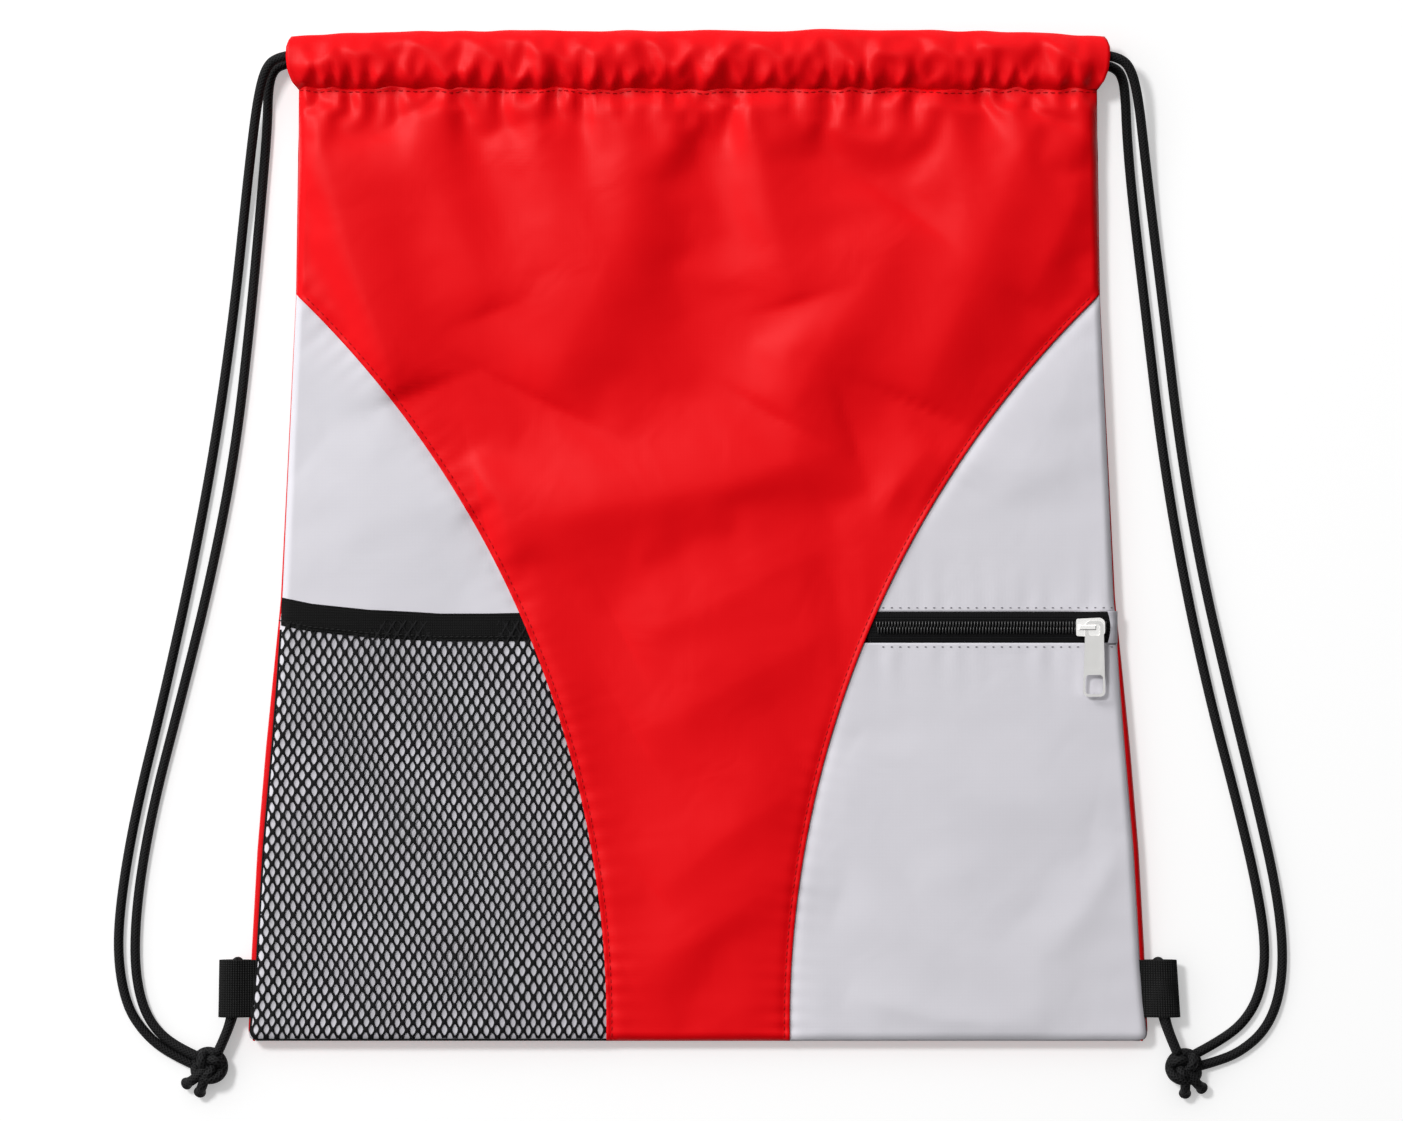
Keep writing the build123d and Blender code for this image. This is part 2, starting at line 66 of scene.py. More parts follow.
# The red cloth lies a little above the level surface, the grey a little below.
RED_LIFT = 0.35
GREY_LIFT = -0.25


# ---------------------------------------------------------------- small helpers
def smooth(t):
    t = np.clip(t, 0.0, 1.0)
    return t * t * (3 - 2 * t)


def half_width(y):
    return np.interp(y, HALF_WIDTH_Y, HALF_WIDTH_X)


def seam_x(y):
    """Distance of the hourglass seam from the bag's middle."""
    rise = np.clip(SEAM_RADIUS**2 - (np.asarray(y) - SEAM_CENTRE[1]) ** 2, 0, None)
    return SEAM_CENTRE[0] - np.sqrt(rise)


def to_seam(x, y):
    """Distance to the hourglass seam: above 0 on the red side."""
    return np.hypot(np.abs(x) - SEAM_CENTRE[0], y - SEAM_CENTRE[1]) - SEAM_RADIUS


def back_shows(y):
    """Width of the red strip that the back panel shows beside the front, towards the bottom."""
    return np.interp(y, BACK_SHOWS_Y, BACK_SHOWS_X)


def corner_round(y, radius=3.4):
    depth = np.clip(radius - (np.asarray(y) - BOTTOM_Y), 0, radius)
    return radius - np.sqrt(radius**2 - depth**2)


def front_edge(y):
    return half_width(y) - back_shows(y) - corner_round(y)


def bunched(count, pull=0.6):
    """Fractions from 0 to 1 that come closer together at both ends."""
    t = np.linspace(0, 1, count)
    return (1 - pull) * t + pull * (0.5 - 0.5 * np.cos(math.pi * t))


def spread_rows(rows, columns):
    """Each row's value, once for every column."""
    return np.repeat(rows[:, None], columns, axis=1)


def hex_colour(code, gain=1.0):
    """An sRGB hex colour as linear RGBA, made gain times brighter."""
    parts = [int(code[i : i + 2], 16) / 255 for i in (1, 3, 5)]
    linear = [c / 12.92 if c <= 0.04045 else ((c + 0.055) / 1.055) ** 2.4 for c in parts]
    return (*(gain * c for c in linear), 1.0)


def add_node(tree, kind, inputs=None, **settings):
    """One node with its settings; an input is a value or the socket that feeds it."""
    node = tree.nodes.new(kind)
    for name, value in settings.items():
        setattr(node, name, value)
    for socket, value in (inputs or {}).items():
        if isinstance(value, bpy.types.NodeSocket):
            tree.links.new(value, node.inputs[socket])
        else:
            node.inputs[socket].default_value = value
    return node


def calc(tree, operation, *values):
    """The result of one arithmetic node."""
    return add_node(tree, "ShaderNodeMath", dict(enumerate(values)), operation=operation).outputs[0]


def vector_calc(tree, operation, vector, by):
    """The result of one vector node; by is a vector, or the number that scales."""
    socket = "Scale" if operation == "SCALE" else 1
    node = add_node(tree, "ShaderNodeVectorMath", {0: vector, socket: by}, operation=operation)
    return node.outputs["Value" if operation == "DOT_PRODUCT" else "Vector"]


def combined(tree, x, y, z):
    return add_node(tree, "ShaderNodeCombineXYZ", {"X": x, "Y": y, "Z": z}).outputs[0]


def new_object(name, data, material=None):
    obj = bpy.data.objects.new(name, data)
    scene.collection.objects.link(obj)
    if material is not None:
        data.materials.append(material)
    return obj


def mesh_object(name, points, faces, material, edges=()):
    """A mesh from points in millimetres."""
    mesh = bpy.data.meshes.new(name)
    mesh.from_pydata((np.asarray(points) * MM).tolist(), list(edges), faces)
    mesh.validate()
    for polygon in mesh.polygons:
        polygon.use_smooth = True
    return new_object(name, mesh, material)


def grid_faces(rows, columns, closed=False, flip=False):
    faces = []
    for j in range(rows - 1):
        for i in range(columns if closed else columns - 1):
            k = (i + 1) % columns
            face = (j * columns + i, j * columns + k, (j + 1) * columns + k, (j + 1) * columns + i)
            faces.append(face[::-1] if flip else face)
    return faces


def stacked(x, y, z):
    """Points from arrays of their coordinates."""
    return np.stack([x, y, z], axis=-1)


def add_wall(obj, thick):
    """Gives a sheet its thickness, on the inside."""
    wall = obj.modifiers.new("thickness", "SOLIDIFY")
    wall.thickness = thick * MM
    wall.offset = -1


def cloth_from_grid(name, grid, material, thick=0.45, flip=False, closed=False):
    """A woven piece from a grid of points."""
    faces = grid_faces(*grid.shape[:2], closed, flip)
    obj = mesh_object(name, grid.reshape(-1, 3), faces, material)
    add_wall(obj, thick)
    return obj


def belongs(piece, slot, *nodes):
    """The piece rides on the bag and stands for the CAD nodes, which are hidden. slot, a material slot's
    name, is not used.
    """
    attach(piece, "bag")
    if nodes:
        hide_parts(*nodes)


# ---------------------------------------------------------------- materials
def start_material(name):
    material = bpy.data.materials.new(name)
    material.use_nodes = True
    material.node_tree.nodes.clear()
    return material, material.node_tree


def close_material(material, shader):
    add_node(material.node_tree, "ShaderNodeOutputMaterial", {"Surface": shader.outputs[0]})
    return material


def surface(material, colour, roughness, inputs):
    """Ends a material with one surface shader."""
    inputs = {"Base Color": colour, "Roughness": roughness, **inputs}
    return close_material(material, add_node(material.node_tree, "ShaderNodeBsdfPrincipled", inputs))


def object_place(tree):
    return add_node(tree, "ShaderNodeTexCoord").outputs["Object"]


def noise(tree, scale, detail=2.0, distortion=0.0):
    """Cloudy values from 0 to 1, with scale clouds to the metre."""
    inputs = {"Vector": object_place(tree), "Scale": scale, "Detail": detail, "Distortion": distortion}
    return add_node(tree, "ShaderNodeTexNoise", inputs).outputs["Fac"]


def bands(tree, repeat, direction):
    """Bands that repeat every repeat mm: a wave texture's come every 2 pi / (20 * scale) metres."""
    inputs = {"Vector": object_place(tree), "Scale": 2 * math.pi / (20 * repeat * MM)}
    return add_node(tree, "ShaderNodeTexWave", inputs, bands_direction=direction).outputs["Fac"]


def mixed_colour(tree, factor, low, high):
    return add_node(tree, "ShaderNodeMix", {"Factor": factor, 6: low, 7: high}, data_type="RGBA").outputs[2]


def between(tree, value, low, high):
    """A value from 0 to 1, spread from low to high."""
    inputs = {"Value": value, "To Min": low, "To Max": high}
    return add_node(tree, "ShaderNodeMapRange", inputs).outputs[0]


def relief(tree, height, depth, **more):
    """The normal of a relief depth mm deep."""
    return add_node(tree, "ShaderNodeBump", {"Height": height, "Distance": depth * MM, **more}).outputs[0]


def woven_cloth(name, light, dark, thread, depth, roughness, crinkle, sheen=0.0):
    """Plain-woven polyester.

    thread is one thread's width in mm, drawn coarser than the real 0.2 mm so that it shows; crinkle is the
    height of the small set-in creases that light cloth keeps, in mm."""
    material, tree = start_material(name)
    tone = mixed_colour(tree, noise(tree, 14, 3.0), hex_colour(dark), hex_colour(light))
    weave = calc(tree, "MULTIPLY", bands(tree, 2 * thread, "X"), bands(tree, 2 * thread, "Y"))
    creases = relief(tree, noise(tree, 38, 2.0, 0.6), crinkle)
    inputs = {"Specular IOR Level": 0.105, "Sheen Weight": sheen, "Sheen Roughness": 0.4}
    inputs["Normal"] = relief(tree, weave, depth, Normal=creases)
    return surface(material, tone, roughness, inputs)


def ribbed_black(name, colour, across, along, depth, roughness, glint=2.0):
    """Black woven tape: cords one way, across mm apart, and picks the other way, along mm apart."""
    material, tree = start_material(name)
    weave = calc(tree, "MULTIPLY", bands(tree, across, "X"), bands(tree, along, "Y"))
    # Painted glints: here and there the tops of the picks are painted brighter, where they would catch the
    # light.
    painted_glint = calc(tree, "MULTIPLY", calc(tree, "POWER", weave, 3.0), noise(tree, 900))
    tone = mixed_colour(tree, painted_glint, hex_colour(colour), hex_colour(colour, glint))
    inputs = {"Specular IOR Level": 0.1, "Normal": relief(tree, weave, depth)}
    return surface(material, tone, roughness, inputs)


def thread_material(name, colour):
    """Spun polyester sewing thread: two twisted plies, 0.3 mm a turn, nearly matt."""
    material, tree = start_material(name)
    tone = mixed_colour(tree, noise(tree, 600), hex_colour(colour, 0.7), hex_colour(colour))
    inputs = {"Specular IOR Level": 0.1, "Normal": relief(tree, bands(tree, 0.3, "DIAGONAL"), 0.04)}
    return surface(material, tone, 0.6, inputs)


def braided_cord(name):
    """Braided polyester cord: strands cross in a herringbone, every 1.6 mm along and 8 times round."""
    material, tree = start_material(name)
    place = add_node(tree, "ShaderNodeUVMap", uv_map="braid").outputs[0]
    along, around = add_node(tree, "ShaderNodeSeparateXYZ", {0: place}).outputs[:2]
    strands = []
    for lean in (1, -1):
        lead = calc(tree, "MULTIPLY", around, lean * 2 * math.pi * 8)
        strands.append(calc(tree, "SINE", calc(tree, "MULTIPLY_ADD", along, 2 * math.pi / 1.6, lead)))
    braid = calc(tree, "MAXIMUM", *strands)
    # The crowns of the strands are painted lighter and the grooves between them darker: painted sheen and
    # painted shade.
    tone = mixed_colour(tree, braid, hex_colour("#020202"), hex_colour("#1C1C1D"))
    return surface(material, tone, 0.55, {"Specular IOR Level": 0.09, "Normal": relief(tree, braid, 0.12)})


def plated_zinc(name):
    """Nickel-plated zinc die casting: bright, with fine tumbling scratches."""
    material, tree = start_material(name)
    ripple = relief(tree, noise(tree, 160, 1.0), 0.05, Strength=0.4)
    rough = between(tree, noise(tree, 900, 3.0), 0.17, 0.24)
    return surface(material, hex_colour("#FDFCFA"), rough, {"Metallic": 1.0, "Normal": ripple})


def nylon_coil(name):
    """Nylon monofilament, dyed black: smooth and glossy."""
    material, tree = start_material(name)
    rough = between(tree, noise(tree, 500), 0.22, 0.4)
    return surface(material, hex_colour("#101011"), rough, {"IOR": 1.53})


# Satin-finished polyester taffeta, dyed red: close woven and lightly calendered, so folds take a soft shine.
RED = woven_cloth("satin_polyester_red", "#E40610", "#E0050E", 0.3, 0.02, 0.38, 0.35)
# The back and the turned-in sides take a darker copy of the red: painted shade, for the strips at the sides
# that face away from the light.
RED_PAINTED_SHADE = woven_cloth("satin_polyester_red_painted_shade", "#CE060E", "#CA050D", 0.3, 0.02, 0.42, 0.35)
# The same cloth dyed pale grey, with less shine, and a coarser one for what is inside.
GREY = woven_cloth("polyester_pale_grey", "#D5D3D9", "#D1CFD6", 0.3, 0.02, 0.50, 0.25)
GREY_LINING = woven_cloth("polyester_grey_lining", "#BDBBC2", "#B6B4BB", 0.45, 0.05, 0.6, 0.2, 0.05)
# Polypropylene webbing: hard black yarns, with cords and picks about 1 mm apart.
WEBBING = ribbed_black("polypropylene_webbing", "#0A0A0A", 1.05, 1.0, 0.22, 0.62, 14.0)
# Folded knitted elastic: matt, with cords along it.
ELASTIC = ribbed_black("knitted_elastic", "#0A0A0A", 0.95, 1.1, 0.12, 0.8, 6.0)
# Polyester zip tape: fine herringbone, matt.
TAPE = ribbed_black("woven_zip_tape", "#080809", 0.7, 0.9, 0.1, 0.75)
# Knitted mesh yarn: soft black filament with a faint shine.
NET = ribbed_black("knitted_mesh_yarn", "#0C0C0D", 0.4, 0.4, 0.05, 0.6)
RED_THREAD = thread_material("polyester_thread_red", "#C20A10")
GREY_THREAD = thread_material("polyester_thread_grey", "#7C7A81")
BLACK_THREAD = thread_material("polyester_thread_black", "#202020")
CORD = braided_cord("braided_polyester_cord")
ZINC = plated_zinc("nickel_plated_zinc")
NYLON = nylon_coil("nylon_coil_black")

# ---------------------------------------------------------------- camera, lights and floor
VIEW_WIDTH = 599.1
VIEW_CENTRE = (1.5, -10.5)
VIEW_PLANE = 8.0
CAMERA_UP = 2.5
SENSOR = 36
camera_data = bpy.data.cameras.new("camera")
camera_data.sensor_width = SENSOR
camera_data.lens = SENSOR * CAMERA_UP / (VIEW_WIDTH * MM)
camera_data.clip_end = 20
camera = new_object("camera", camera_data)
camera.location = (VIEW_CENTRE[0] * MM, VIEW_CENTRE[1] * MM, CAMERA_UP + VIEW_PLANE * MM)
scene.camera = camera
scene.view_settings.view_transform = "Standard"


def soft_light(name, place, size, watts):
    """A square light that faces the bag."""
    data = bpy.data.lights.new(name, "AREA")
    data.shape = "SQUARE"
    data.size = size
    data.energy = watts
    lamp = new_object(name, data)
    lamp.location = place
    lamp.rotation_mode = "QUATERNION"
    lamp.rotation_quaternion = (-Vector(place)).to_track_quat("-Z", "Y")
    return lamp


# One large soft source lies low beyond the top left corner; a steeper one gives the short shadows.
low_key = soft_light("low_key", (-2.45, 2.0, 1.4), 1.2, 71.0)
soft_light("steep_key", (-1.42, 1.22, 2.9), 0.6, 58.0)
# The low source models the folds only: its long shadows stay off the floor.
lit_by_low_key = bpy.data.collections.new("lit by the low key")
low_key.light_linking.receiver_collection = lit_by_low_key

world = bpy.data.worlds.new("pale_room")
scene.world = world
world.use_nodes = True
tree = world.node_tree
tree.nodes.clear()
ray = add_node(tree, "ShaderNodeLightPath").outputs
seen = calc(tree, "MAXIMUM", ray["Is Camera Ray"], ray["Is Transmission Ray"])
# The room is bright towards the top left corner and dark towards the opposite one.
way = add_node(tree, "ShaderNodeTexCoord").outputs["Generated"]
brightness = add_node(
    tree,
    "ShaderNodeMapRange",
    {
        "Value": vector_calc(tree, "DOT_PRODUCT", way, (-0.7, 0.71, 0.0)),
        "From Min": -0.4,
        "From Max": 0.4,
        "To Min": 0.02,
        "To Max": 1.1,
    },
)
share = calc(tree, "MULTIPLY_ADD", ray["Is Glossy Ray"], 1.1, 0.62)
strength = calc(tree, "MULTIPLY", brightness.outputs[0], share)
room = add_node(tree, "ShaderNodeBackground", {"Color": (1, 1, 1, 1), "Strength": strength})
white = add_node(tree, "ShaderNodeBackground", {"Color": (1, 1, 1, 1), "Strength": 1.0})
both = add_node(tree, "ShaderNodeMixShader", {0: seen, 1: room.outputs[0], 2: white.outputs[0]})
add_node(tree, "ShaderNodeOutputWorld", {"Surface": both.outputs[0]})

floor_paint, tree = start_material("matt_white_floor")
ray = add_node(tree, "ShaderNodeLightPath").outputs
paint = add_node(tree, "ShaderNodeBsdfDiffuse", {"Color": hex_colour("#F2F2F2")})
glow = add_node(tree, "ShaderNodeEmission", {"Color": (1, 1, 1, 1), "Strength": 0.36})
lit = add_node(tree, "ShaderNodeAddShader", {0: paint.outputs[0], 1: glow.outputs[0]})
shown = calc(tree, "MAXIMUM", ray["Is Camera Ray"], ray["Is Glossy Ray"])
close_material(
    floor_paint, add_node(tree, "ShaderNodeMixShader", {0: shown, 1: paint.outputs[0], 2: lit.outputs[0]})
)
FAR = 3000
FLOOR_Z = -0.1
floor_corners = [(x, y, FLOOR_Z) for x, y in ((-FAR, -FAR), (FAR, -FAR), (FAR, FAR), (-FAR, FAR))]
floor = mesh_object("floor", floor_corners, [(0, 1, 2, 3)], floor_paint)
lit_by_low_key.objects.link(floor)
lit_by_low_key.collection_objects[0].light_linking.link_state = "EXCLUDE"

# ---------------------------------------------------------------- cords
CORD_RADIUS = 2.1
# Each cord's control points in mm; a point of two numbers lies on the floor.
CORD_ROUTES = {
    "drawcord_left_outer": [
        (-175, 204.5, 13.4), (-180.2, 203.6, 13.3), (-184.4, 199, 12.6), (-187.4, 188.5, 10.4),
        (-190.2, 171, 6.6), (-193.6, 143, 2.9), (-198.4, 97), (-206.3, 41), (-216.5, -14), (-228.5, -68.5),
        (-240.2, -116), (-246.6, -152), (-248.6, -178), (-245.2, -199.5), (-237.8, -212), (-226.5, -221.6),
        (-213.5, -227.2, 2.6),
    ],
    "drawcord_left_inner": [
        (-174.5, 202.2, 2.8), (-179, 201.5, 2.7), (-182.4, 198, 2.5), (-184, 190.5, 2.2), (-184.3, 175),
        (-186.8, 145), (-191.5, 93), (-198, 36), (-208.5, -18), (-221.4, -70), (-232.9, -114),
        (-239.4, -150), (-241.4, -178), (-239.2, -197), (-233.6, -209.8), (-223.8, -218.4, 3),
        (-212.8, -223, 5),
    ],
    "drawcord_right_outer": [
        (175, 204.5, 13.4), (180.8, 203.6, 13.3), (185.2, 197.6, 12.5), (188, 185.6, 10.2),
        (190.3, 168, 6.6), (193.8, 140, 2.9), (199.5, 95), (206, 40), (215.2, -14), (227.5, -67),
        (239.8, -116.5), (247.6, -151.5), (250.6, -177.5), (249, -197), (243, -211.5), (232, -221),
        (220.5, -225.4), (211.5, -227.6, 2.6),
    ],
    "drawcord_right_inner": [
        (175, 201.2, 2.8), (179, 200.2, 2.7), (182, 195.4, 2.4), (183, 186.5, 2.2), (183.6, 171),
        (186, 143), (191.8, 94), (198.4, 38), (207.2, -15), (218.6, -68), (231.2, -116), (239.2, -150),
        (243.2, -176.5), (240.8, -195.5), (234, -208), (223.4, -216.2), (212.4, -221.9, 2.6),
    ],
    "tab_loop_left": [
        (-205.6, -221.5, 7.6), (-201.2, -212.5, 7.9), (-198.8, -203, 7.9), (-198.5, -192, 7.9),
        (-198.3, -185.3, 8.3), (-197.2, -181.6, 6.2), (-195.8, -182.4, 3.2), (-194.8, -189, 2.3),
        (-197.4, -200, 2.2), (-201, -211.5, 2.2), (-205.6, -221.5, 2.5),
    ],
    "tab_loop_right": [
        (205.2, -221.5, 7.6), (201.2, -212.5, 7.9), (198.9, -203, 7.9), (198.5, -192, 7.9),
        (198.3, -185.3, 8.3), (197.2, -181.6, 6.2), (195.8, -182.4, 3.2), (194.8, -189, 2.3),
        (197.4, -200, 2.2), (200.8, -211.5, 2.2), (205.2, -221.5, 2.5),
    ],
}


def smooth_line(route):
    """Points in mm along the smooth spline that a route controls."""
    data = bpy.data.curves.new("route", "CURVE")
    data.dimensions = "3D"
    data.resolution_u = 10
    spline = data.splines.new("NURBS")
    spline.points.add(len(route) - 1)
    for point, place in zip(spline.points, route):
        point.co = (*(c * MM for c in place), 1.0)
    spline.order_u = 3
    spline.use_endpoint_u = True
    holder = new_object("route", data)
    graph = bpy.context.evaluated_depsgraph_get()
    line = bpy.data.meshes.new_from_object(holder.evaluated_get(graph))
    points = np.array([v.co for v in line.vertices]) / MM
    bpy.data.objects.remove(holder)
    return points


def swept_tube(name, line, radii, material, sides=16, capped=True):
    """A round tube of rings along a line in mm, with a braid UV in mm along and turns around."""
    line = np.asarray(line, float)
    radii = np.broadcast_to(radii, len(line))
    ahead = np.gradient(line, axis=0)
    ahead /= np.linalg.norm(ahead, axis=1)[:, None]
    across = np.cross(ahead[0], (0.13, 0.21, 1.0))
    angles = np.linspace(0, 2 * math.pi, sides, endpoint=False)
    run = np.concatenate([[0], np.cumsum(np.linalg.norm(np.diff(line, axis=0), axis=1))])
    rings = []
    for centre, way, radius in zip(line, ahead, radii):
        across = across - way * across.dot(way)
        across /= np.linalg.norm(across)
        beside = np.cross(way, across)
        rings.append(centre + radius * (np.cos(angles)[:, None] * across + np.sin(angles)[:, None] * beside))
    faces = grid_faces(len(line), sides, closed=True)
    if capped:
        last = (len(line) - 1) * sides
        faces += [tuple(range(sides))[::-1], tuple(range(last, last + sides))]
    obj = mesh_object(name, np.concatenate(rings), faces, material)
    layer = obj.data.uv_layers.new(name="braid")
    for polygon in obj.data.polygons:
        corners = [obj.data.loops[i].vertex_index for i in polygon.loop_indices]
        turns = [corner % sides for corner in corners]
        wraps = max(turns) - min(turns) > sides / 2
        for i, corner, turn in zip(polygon.loop_indices, corners, turns):
            around = turn / sides + (1.0 if wraps and turn < sides / 2 else 0.0)
            layer.data[i].uv = (run[corner // sides], around)
    return obj


cords = {}
cord_lines = {}
for name, route in CORD_ROUTES.items():
    cord_lines[name] = smooth_line([(*place, CORD_RADIUS)[:3] for place in route])
    cords[name] = swept_tube("cord_" + name, cord_lines[name], CORD_RADIUS, CORD)


def join_meshes(name, parts):
    """One object from several, in their order, with each part's materials and UVs."""
    for obj in bpy.context.selected_objects:
        obj.select_set(False)
    for obj in parts:
        obj.select_set(True)
    bpy.context.view_layer.objects.active = parts[0]
    bpy.ops.object.join()
    parts[0].name = name
    parts[0].data.name = name
    return parts[0]


def overhand_knot(name, centre, turn, tails, mirror):
    """A tight overhand knot: the cord goes three times round itself, and two melted tails stick out."""
    t = np.linspace(0, 2 * math.pi, 97)
    c, s = math.cos(turn), math.sin(turn)

    def turned(x, y, z):
        x = x * mirror
        return stacked(centre[0] + x * c - y * s, centre[1] + x * s + y * c, z)

    parts = []

    def wrapped(part, x, y, z):
        line = turned(x, y, z)
        parts.append(swept_tube(f"{name}_{part}", line, CORD_RADIUS * 1.1, CORD, capped=False))

    sin, cos = np.sin(t), np.cos(t)
    wrapped("outer", 5.9 * cos + 0.2, 5.6 * sin + 0.3, 4.9 + 2.1 * np.sin(t + 0.5))
    wrapped("cross", 5.2 * cos + 0.9, 3.9 * sin - 1.6 + 1.5 * cos, 5.6 + 2.8 * np.cos(t + 0.9))
    lobe_x = 1.55 * (sin + 2 * np.sin(2 * t))
    wrapped("lobes", lobe_x, 1.6 * (cos - 2 * np.cos(2 * t)) + 0.6, 7.0 - 2.0 * np.sin(3 * t))
    # The cord's turns inside the knot fill its middle.
    core = turned(0.5 * cos[:20], np.linspace(-4.5, 4.5, 20), np.full(20, 4.6))
    radii = 4.2 * np.sqrt(1 - np.linspace(-0.96, 0.96, 20) ** 2)
    parts.append(swept_tube(name + "_core", core, radii, CORD))
    for k, end in enumerate(tails):
        bend = (centre[0] * 0.45 + end[0] * 0.55, centre[1] * 0.35 + end[1] * 0.65)
        drop = (bend[0] * 0.4 + end[0] * 0.6, bend[1] * 0.4 + end[1] * 0.6)
        line = smooth_line([(*centre, 8.2), (*bend, 8.0), (*drop, 5.6), (*end, 3.2)])
        share = np.linspace(0, 1, len(line))
        # The melted end is swollen a little and its rim is rounded.
        radii = CORD_RADIUS * (1.03 + 0.25 * smooth((share - 0.72) / 0.2))
        radii = radii * np.where(share > 0.965, 0.72, 1.0)
        parts.append(swept_tube(f"{name}_tail_{k}", line, radii, CORD))
    return join_meshes(name, parts)


LEFT_TAILS = [(-219.4, -234.6), (-213.3, -238.4)]
RIGHT_TAILS = [(208.3, -238.9), (216.0, -236.6)]
knots = {
    "left": overhand_knot("overhand_knot_left", (-209.1, -226.4), -0.55, LEFT_TAILS, 1),
    "right": overhand_knot("overhand_knot_right", (208.0, -227.0), 0.35, RIGHT_TAILS, -1),
}

# ---------------------------------------------------------------- the cloth's shape
# Large soft folds in the red front: the crest's points, its height, and its widths on the two sides, in mm.
# The second width is the side on the right hand of someone who walks along the crest.
RED_FOLDS = [
    ([(-164, 182), (-147, 118), (-126, 60)], 7.4, 24, 12),
    ([(-128, 176), (-106, 140), (-88, 96)], 3.0, 18, 16),
    ([(-12, 190), (-38, 116), (-66, 58)], 6.8, 24, 30),
    ([(24, 188), (30, 140), (42, 100)], 4.4, 18, 14),
    ([(44, 178), (62, 174), (84, 168)], 1.3, 13, 8),
    ([(92, 136), (60, 92), (36, 50)], 5.4, 20, 28),
    ([(143, 180), (124, 128), (94, 56)], 5.8, 19, 22),
    ([(166, 186), (160, 140), (140, 100)], 2.4, 10, 14),
    ([(-90, 2), (-40, 13), (10, 22), (66, 40)], 3.8, 30, 18),
    ([(-30, -46), (12, -26), (60, 0)], 1.8, 24, 14),
    ([(-26, -86), (20, -60), (64, -36)], 1.8, 24, 14),
    ([(-18, -152), (16, -124), (48, -104)], 1.5, 20, 12),
    ([(-30, -186), (4, -170), (40, -140)], 1.0, 16, 12),
    ([(-72, -30), (-58, -60), (-46, -104)], 0.8, 10, 14),
    ([(-98, 34), (-84, 14), (-76, -14)], 1.2, 10, 8),
    ([(-72, 176), (-62, 140), (-60, 112)], 1.2, 18, 14),
    ([(100, 40), (84, 20), (74, -6)], 1.2, 8, 10),
    ([(112, 184), (104, 160), (92, 146)], 1.2, 12, 12),
]
# Fainter ones in the grey panels.
GREY_FOLDS = [
    ([(-160, 84), (-138, 40), (-100, 4)], 1.2, 22, 14),
    ([(-168, 30), (-140, 8), (-96, -16)], 0.9, 14, 18),
    ([(166, 82), (150, 50), (128, 14)], 1.0, 14, 22),
    ([(96, 4), (130, 16), (166, 40)], 0.8, 16, 10),
    ([(70, -84), (110, -110), (168, -122)], 1.1, 20, 14),
    ([(150, -180), (172, -150), (180, -128)], 1.0, 10, 7),
    ([(60, -160), (110, -176), (160, -196)], 1.0, 18, 12),
    ([(64, -196), (104, -206), (150, -209)], 1.2, 8, 6),
    ([(92, -150), (120, -142), (140, -160)], 0.8, 12, 12),
    ([(-180, -120), (-130, -150), (-60, -170)], 0.8, 16, 16),
]


def crest(x, y, path, height, left_width, right_width):
    """Height of one soft fold, which fades out at both ends of its crest."""
    path = np.asarray(path, float)
    legs = np.diff(path, axis=0)
    spans = np.linalg.norm(legs, axis=1)
    before = np.concatenate([[0], np.cumsum(spans)])
    near = np.full(np.shape(x), 1e9)
    side = np.zeros(np.shape(x))
    run = np.zeros(np.shape(x))
    for start, leg, span, done in zip(path, legs, spans, before):
        along = ((x - start[0]) * leg[0] + (y - start[1]) * leg[1]) / span**2
        held = np.clip(along, 0, 1)
        off = np.hypot(x - start[0] - held * leg[0], y - start[1] - held * leg[1])
        hand = (x - start[0]) * leg[1] - (y - start[1]) * leg[0]
        closer = off < near
        near = np.where(closer, off, near)
        side = np.where(closer, hand, side)
        run = np.where(closer, (done + held * span) / before[-1], run)
    width = left_width + (right_width - left_width) * smooth(0.5 + side / span / 6)
    fade = np.clip(4 * run * (1 - run), 0, 1) ** 0.6
    return height * fade * np.exp(-((near / width) ** 1.6))


def folds(x, y, listed):
    total = np.zeros(np.shape(x))
    for path, height, left_width, right_width in listed:
        total = total + crest(x, y, path, height, left_width, right_width)
    return total


def ruck(x, y, seed, size):
    """Random gentle unevenness, about -1 to 1, with rises some size mm apart."""
    dice = np.random.default_rng(seed)
    total = np.zeros(np.shape(x))
    for _ in range(9):
        turn = dice.uniform(0, 2 * math.pi)
        pace = 2 * math.pi / (size * dice.uniform(0.7, 1.6))
        shift = dice.uniform(0, 2 * math.pi)
        total = total + np.sin(pace * (x * math.cos(turn) + y * math.sin(turn)) + shift)
    return total / 4.5


GATHERED_TO_X = 168


def gather_set(seed, count, reach):
    """Small folds that spring from the casing's stitching: place, lean, reach, width, height."""
    dice = np.random.default_rng(seed)
    made = []
    for k in range(count):
        share = (k + dice.uniform(0.15, 0.85)) / count
        # They crowd together towards the middle.
        place = GATHERED_TO_X * np.sign(share - 0.5) * abs(2 * share - 1) ** 1.15
        middle = 1 - abs(place) / GATHERED_TO_X
        made.append(
            (
                place,
                dice.normal(0, 0.34),
                reach * dice.uniform(0.45, 1.25) * (0.7 + 0.6 * middle),
                dice.uniform(2.6, 5.2),
                dice.uniform(0.5, 1.5) * (0.65 + 0.7 * middle),
            )
        )
    return made


def gathers(x, away, made):
    """Height of the gathers away mm from the stitching."""
    total = np.zeros(np.shape(x))
    ahead = np.clip(away, 0, None)
    for place, lean, reach, width, height in made:
        run = ahead / reach
        spread = width * (0.75 + 1.3 * run)
        swell = (run / 0.22) * np.exp(1 - run / 0.22)
        total = total + height * swell * np.exp(-(((x - place - lean * ahead) / spread) ** 2))
    return total


SHEET_STEP = 2.6
DRAPE_STEPS = 16
